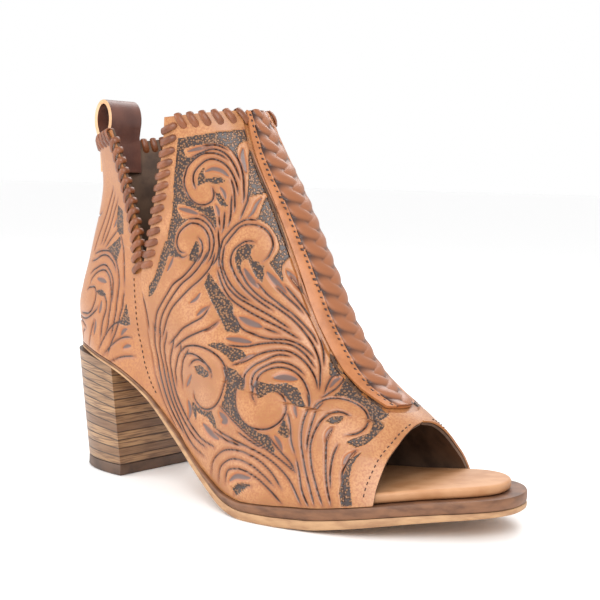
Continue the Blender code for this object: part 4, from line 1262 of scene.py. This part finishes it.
def moved(turn, level, vector):
    """The place on the upper that is vector away from (turn, level)."""
    d_turn = (surface(turn + 1e-3, level) - surface(turn - 1e-3, level)) / 2e-3
    d_level = (surface(turn, level - 0.01) - surface(turn, level - 0.03)) / 0.02
    step = np.linalg.lstsq(np.column_stack([d_turn, d_level]), vector, rcond=None)[0]
    return turn + step[0], min(level + step[1], LEVELS)


def strand(path, normals, points, faces):
    """Adds one closed flattened strand along a path."""
    path = np.array(path)
    tangent = np.gradient(path, axis=0)
    tangent /= np.linalg.norm(tangent, axis=1)[:, None]
    start = len(points)
    for k, (at, along, up) in enumerate(zip(path, tangent, normals)):
        sideways = np.cross(along, up)
        sideways /= np.linalg.norm(sideways)
        over = np.cross(sideways, along)
        size = END_TAPER if k in (0, len(path) - 1) else 1
        for angle in np.linspace(0, 2 * math.pi, STRAND_SIDES, endpoint=False):
            wide = math.cos(angle) * STRAND_WIDTH / 2 * size * MM
            thick = math.sin(angle) * STRAND_THICK / 2 * size * MM
            points.append(at + sideways * wide + over * thick)
    for k in range(len(path) - 1):
        for i in range(STRAND_SIDES):
            j = (i + 1) % STRAND_SIDES
            a = start + k * STRAND_SIDES
            b = a + STRAND_SIDES
            faces.append([a + i, b + i, b + j, a + j])
    faces.append([start + i for i in range(STRAND_SIDES)])
    end = start + (len(path) - 1) * STRAND_SIDES
    faces.append([end + i for i in reversed(range(STRAND_SIDES))])


def whip(edge, lean, points, faces):
    """Whip stitches along an edge given as (turn, level) samples. Leather lies to its right."""
    edge = np.array(edge)
    line = surface(edge[:, 0], edge[:, 1])
    run = np.concatenate([[0], np.cumsum(np.linalg.norm(np.diff(line, axis=0), axis=1))]) / MM
    count = int(run[-1] / STITCH_PITCH)
    for at in (np.arange(count) + 0.5) * run[-1] / count:
        turn = float(np.interp(at, run, edge[:, 0]))
        level = float(np.interp(at, run, edge[:, 1]))
        ahead = surface(np.interp(at + 0.5, run, edge[:, 0]), np.interp(at + 0.5, run, edge[:, 1]))
        back = surface(np.interp(at - 0.5, run, edge[:, 0]), np.interp(at - 0.5, run, edge[:, 1]))
        along = (ahead - back) / np.linalg.norm(ahead - back)
        up = outward(turn, level)
        into = np.cross(along, up)
        spot = surface(turn, level)
        path = []
        normals = []
        for reach, height in ((1.0, -0.5), (0.8, 0.55), (0.5, 0.9), (0.2, 0.9)):
            away = into * HOLE_INSET * reach * MM + along * lean * reach * MM
            place = moved(turn, level, away)
            facing = outward(*place)
            path.append(surface(*place) + facing * height * MM)
            normals.append(facing)
        for angle in (50, 0, -50):
            radius = WALL / MM / 2 + 0.8
            out = -into * math.cos(math.radians(angle)) * 1.0 * MM
            lift = up * (math.sin(math.radians(angle)) * radius - WALL / MM / 2) * MM
            path.append(spot + out + lift)
            normals.append(-into * math.cos(math.radians(angle)) + up * math.sin(math.radians(angle)))
        for reach, height in ((0.3, -3.2), (0.8, -2.9), (1.0, -1.8)):
            away = into * HOLE_INSET * reach * MM - along * lean * 0.4 * reach * MM
            place = moved(turn, level, away)
            facing = outward(*place)
            path.append(surface(*place) + facing * height * MM)
            normals.append(-facing)
        strand(path, normals, points, faces)


points = []
faces = []
notch_levels = np.linspace(NOTCH[-1][0] + 0.15, 7.75, 80)
front_edge = [(float(rear_edge(v)), float(v)) for v in notch_levels]
rear_edge_line = [(float(quarter_edge(v)), float(v)) for v in notch_levels]
front_collar = [(turn, LEVELS) for turn in np.linspace(0.655, float(STRIP_TURNS[-1]) - 0.01, 60)]
back_collar = [(turn, LEVELS) for turn in np.linspace(-0.36, 0.36, 120)]
whip(front_edge, LEAN, points, faces)
whip(front_collar, LEAN, points, faces)
whip(rear_edge_line[::-1], LEAN, points, faces)
whip(back_collar, LEAN, points, faces)
whip([(2 - turn, level) for turn, level in front_edge[::-1]], LEAN, points, faces)
whip([(2 - turn, level) for turn, level in front_collar[::-1]], LEAN, points, faces)
whip([(2 - turn, level) for turn, level in rear_edge_line], LEAN, points, faces)
lacing = mesh_piece("whip_lace", np.array(points), faces, lace, 60)
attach(lacing, "root")

# PULL LOOP
# Smooth brown strap over the back of the collar: one leg outside, one inside, a round bow above.
# Skived leather with pale cut edges, sewn through the collar.

LOOP_WIDTH = 20 * MM
LOOP_THICKNESS = 2 * MM
LOOP_RISE = 20.4 * MM               # above the collar
LOOP_BOW = 12.4 * MM                # across the loop, outside
LOOP_LEG = 15 * MM                  # down each side of the back of the collar
LOOP_CLEARANCE = 0.7 * MM           # between the flat legs and the curved wall
LOOP_NECK = 0.6 * MM                # the legs spread this much just above the collar
LOOP_NECK_RISE = 2.5 * MM
LOOP_STRAIGHTENS = 4 * MM           # above the collar the strap no longer follows its curve
BOW_CENTRE = 0.55                   # height of the bow's middle, as a share of its top
BOW_PAST_HALF = 25                  # degrees that the bow runs on past a half circle, at each end
BOW_POINTS = 48
LOOP_ROWS = 25

# Smooth dyed cowhide, dark brown, and its own pale cut edge.
strap = dyed_leather("brown_strap_leather", "#6a3f31", "#563026", 0.42, 0.9)
cut_edge = dyed_leather("pale_cut_edge", "#d9ae86", "#c39468", 0.6, 0.8)
collar = surface(0.0, float(LEVELS))
below = surface(0.0, LEVELS - 1.0)
lean = (collar[0] - below[0]) / (collar[2] - below[2])
middle_x = collar[0] + WALL / 2
leg = WALL / 2 + LOOP_CLEARANCE + LOOP_THICKNESS / 2
leg_path = [(leg, -z) for z in np.linspace(LOOP_LEG, LOOP_NECK, 16)]
leg_path.append((leg + LOOP_NECK, LOOP_NECK_RISE))
bow_x = (LOOP_BOW - LOOP_THICKNESS) / 2
bow_top = LOOP_RISE - LOOP_THICKNESS / 2
bow_z = bow_top * BOW_CENTRE
angles = np.radians(np.linspace(-BOW_PAST_HALF, 180 + BOW_PAST_HALF, BOW_POINTS))
bow = np.column_stack([-bow_x * np.cos(angles), bow_z + (bow_top - bow_z) * np.sin(angles)])
path = np.array([(-x, z) for x, z in leg_path] + bow.tolist() + leg_path[::-1])
path[:, 0] += np.minimum(path[:, 1], 0) * lean
tangent = np.gradient(path, axis=0)
tangent /= np.linalg.norm(tangent, axis=1)[:, None]
side = np.column_stack([-tangent[:, 1], tangent[:, 0]]) * LOOP_THICKNESS / 2
turns = np.linspace(0, NOTCH[-1][1] / 2, 40)
ring = surface(turns, np.full(len(turns), float(LEVELS)))
outer = []
inner = []
for (x, z), (dx, dz) in zip(path, side):
    hug = smooth_step(1 - z / LOOP_STRAIGHTENS)
    for y in np.linspace(-LOOP_WIDTH / 2, LOOP_WIDTH / 2, LOOP_ROWS):
        bend = (float(np.interp(abs(y), -ring[:, 1], ring[:, 0])) - collar[0]) * hug
        outer.append((middle_x + x + dx + bend, y, collar[2] + z + dz))
        inner.append((middle_x + x - dx + bend, y, collar[2] + z - dz))
grid = np.arange(len(path) * LOOP_ROWS).reshape(len(path), LOOP_ROWS)
shift = grid.size
faces = []
for i in range(len(path) - 1):
    for j in range(LOOP_ROWS - 1):
        quad = [grid[i, j], grid[i + 1, j], grid[i + 1, j + 1], grid[i, j + 1]]
        faces.append(quad)
        faces.append([corner + shift for corner in quad[::-1]])
plain_count = len(faces)
for i in range(len(path) - 1):
    a, b = grid[i, 0], grid[i + 1, 0]
    faces.append([b, a, a + shift, b + shift])
    a, b = grid[i, -1], grid[i + 1, -1]
    faces.append([a, b, b + shift, a + shift])
for j in range(LOOP_ROWS - 1):
    a, b = grid[0, j], grid[0, j + 1]
    faces.append([a, b, b + shift, a + shift])
    a, b = grid[-1, j], grid[-1, j + 1]
    faces.append([b, a, a + shift, b + shift])
faces = [[int(corner) for corner in f] for f in faces]
loop = mesh_piece("pull_strap", np.array(outer + inner), faces, strap, 40)
loop.data.materials.append(cut_edge)
for polygon in loop.data.polygons[plain_count:]:
    polygon.material_index = 1
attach(loop, "root")
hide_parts("pull_loop")

# STITCHES
# Dark waxed thread along the toe opening and behind the seam of the front panel.
# Short lock stitches about 2.6 mm apart, half sunk in the leather.

THREAD = 0.28                       # mm, radius
STITCH_STEP = 2.6                   # mm
THREAD_SIDES = 6
STITCH_PATH = ((-0.75, -0.25), (-0.4, 0.12), (0.4, 0.12), (0.75, -0.25))  # mm along and above
# Waxed polyester thread, dark brown.
thread = dyed_leather("dark_waxed_thread", "#4b2d20", "#3a2219", 0.6, 0.4)


def sewn(places, points, faces):
    """Stitches along (turn, level) samples on the upper's face."""
    places = np.array(places)
    line = surface(places[:, 0], places[:, 1])
    run = np.concatenate([[0], np.cumsum(np.linalg.norm(np.diff(line, axis=0), axis=1))]) / MM
    for at in np.arange(1, run[-1] - 1, STITCH_STEP):
        path = []
        normals = []
        for offset, height in STITCH_PATH:
            turn = np.interp(at + offset, run, places[:, 0])
            level = np.interp(at + offset, run, places[:, 1])
            facing = outward(turn, level)
            sunk = float(wall_step(turn, level)) / MM
            path.append(surface(turn, level) + facing * (height - sunk) * MM)
            normals.append(facing)
        start = len(points)
        path = np.array(path)
        tangent = np.gradient(path, axis=0)
        tangent /= np.linalg.norm(tangent, axis=1)[:, None]
        for spot, along, facing in zip(path, tangent, normals):
            sideways = np.cross(along, facing)
            for angle in np.linspace(0, 2 * math.pi, THREAD_SIDES, endpoint=False):
                ring_side = sideways * math.cos(angle) + facing * math.sin(angle)
                points.append(spot + ring_side * THREAD * MM)
        for k in range(len(STITCH_PATH) - 1):
            for i in range(THREAD_SIDES):
                j = (i + 1) % THREAD_SIDES
                a = start + k * THREAD_SIDES
                b = a + THREAD_SIDES
                faces.append([a + i, b + i, b + j, a + j])
        end = start + (len(STITCH_PATH) - 1) * THREAD_SIDES
        faces.append([start + i for i in range(THREAD_SIDES)])
        faces.append([end + i for i in reversed(range(THREAD_SIDES))])


points = []
faces = []
toe_levels = np.linspace(0.15, 1.9, 90)
toe_row = [(float(toe_edge(v)) - 0.012, float(v) + 0.03) for v in toe_levels]
seam_row = [(float(quarter_edge(v)) - 0.028, float(v)) for v in np.linspace(0.2, 3.7, 90)]
for row in (toe_row, seam_row):
    sewn(row, points, faces)
    sewn([(2 - turn, level) for turn, level in row], points, faces)
stitching = mesh_piece("thread_stitches", np.array(points), faces, thread, 60)
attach(stitching, "root")

# FLOOR, LIGHT AND CAMERA
# Pale plain floor with soft light from the sides and above, as in a studio.
# The camera stands a little above the shoe, in front and to its outer side.

# Matt white painted board.
floor_finish, tree, shader = new_material("pale_studio_floor")
shader.inputs["Base Color"].default_value = linear("#fcfcfc")
shader.inputs["Roughness"].default_value = 0.7
bpy.ops.mesh.primitive_plane_add(size=60, location=(0, 0, -0.0002))
floor = bpy.context.object
floor.name = "studio_floor"
floor.data.materials.append(floor_finish)

world = bpy.data.worlds.new("soft_white_studio")
bpy.context.scene.world = world
world.use_nodes = True
world.node_tree.nodes["Background"].inputs["Color"].default_value = (1, 1, 1, 1)
world.node_tree.nodes["Background"].inputs["Strength"].default_value = 1.0


def soft_light(name, spot, size, power):
    """A square lamp at spot, aimed at the middle of the shoe."""
    lamp = bpy.data.lights.new(name, "AREA")
    lamp.size = size
    lamp.energy = power
    made = bpy.data.objects.new(name, lamp)
    made.location = spot
    made.rotation_euler = (Vector((0, 0, 0.08)) - Vector(spot)).to_track_quat("-Z", "Y").to_euler()
    bpy.context.collection.objects.link(made)


soft_light("key_light", (0.7, -0.9, 0.9), 0.7, 11)
soft_light("fill_light", (-0.8, -0.8, 0.6), 0.9, 6)
soft_light("back_light", (-0.3, 0.9, 1.0), 0.8, 9)

# Lens and place of the camera, as solved on the photo's outline
CAMERA_SPOT = Vector((0.374745, -0.4395, 0.14101))
CAMERA_HEADING = math.atan2(440.08, 117.5 - 493.23) + math.radians(-1.16)
CAMERA_PITCH = math.radians(-5.21)
CAMERA_ROLL = math.radians(1.43)
SENSOR_WIDTH = 36                   # mm
LENS = 76.91                        # mm
ahead = Vector((
    math.cos(CAMERA_HEADING) * math.cos(CAMERA_PITCH),
    math.sin(CAMERA_HEADING) * math.cos(CAMERA_PITCH),
    math.sin(CAMERA_PITCH),
))
level_right = Vector((math.sin(CAMERA_HEADING), -math.cos(CAMERA_HEADING), 0))
level_up = level_right.cross(ahead)
right = math.cos(CAMERA_ROLL) * level_right + math.sin(CAMERA_ROLL) * level_up
up = -math.sin(CAMERA_ROLL) * level_right + math.cos(CAMERA_ROLL) * level_up
camera = bpy.data.objects.new("camera", bpy.data.cameras.new("camera"))
camera.data.sensor_width = SENSOR_WIDTH
camera.data.lens = LENS
camera.data.clip_start = 0.01
turned = Matrix((right, up, -ahead)).transposed().to_4x4()
camera.matrix_world = Matrix.Translation(CAMERA_SPOT) @ turned
bpy.context.collection.objects.link(camera)
bpy.context.scene.camera = camera
bpy.context.scene.view_settings.view_transform = "Standard"
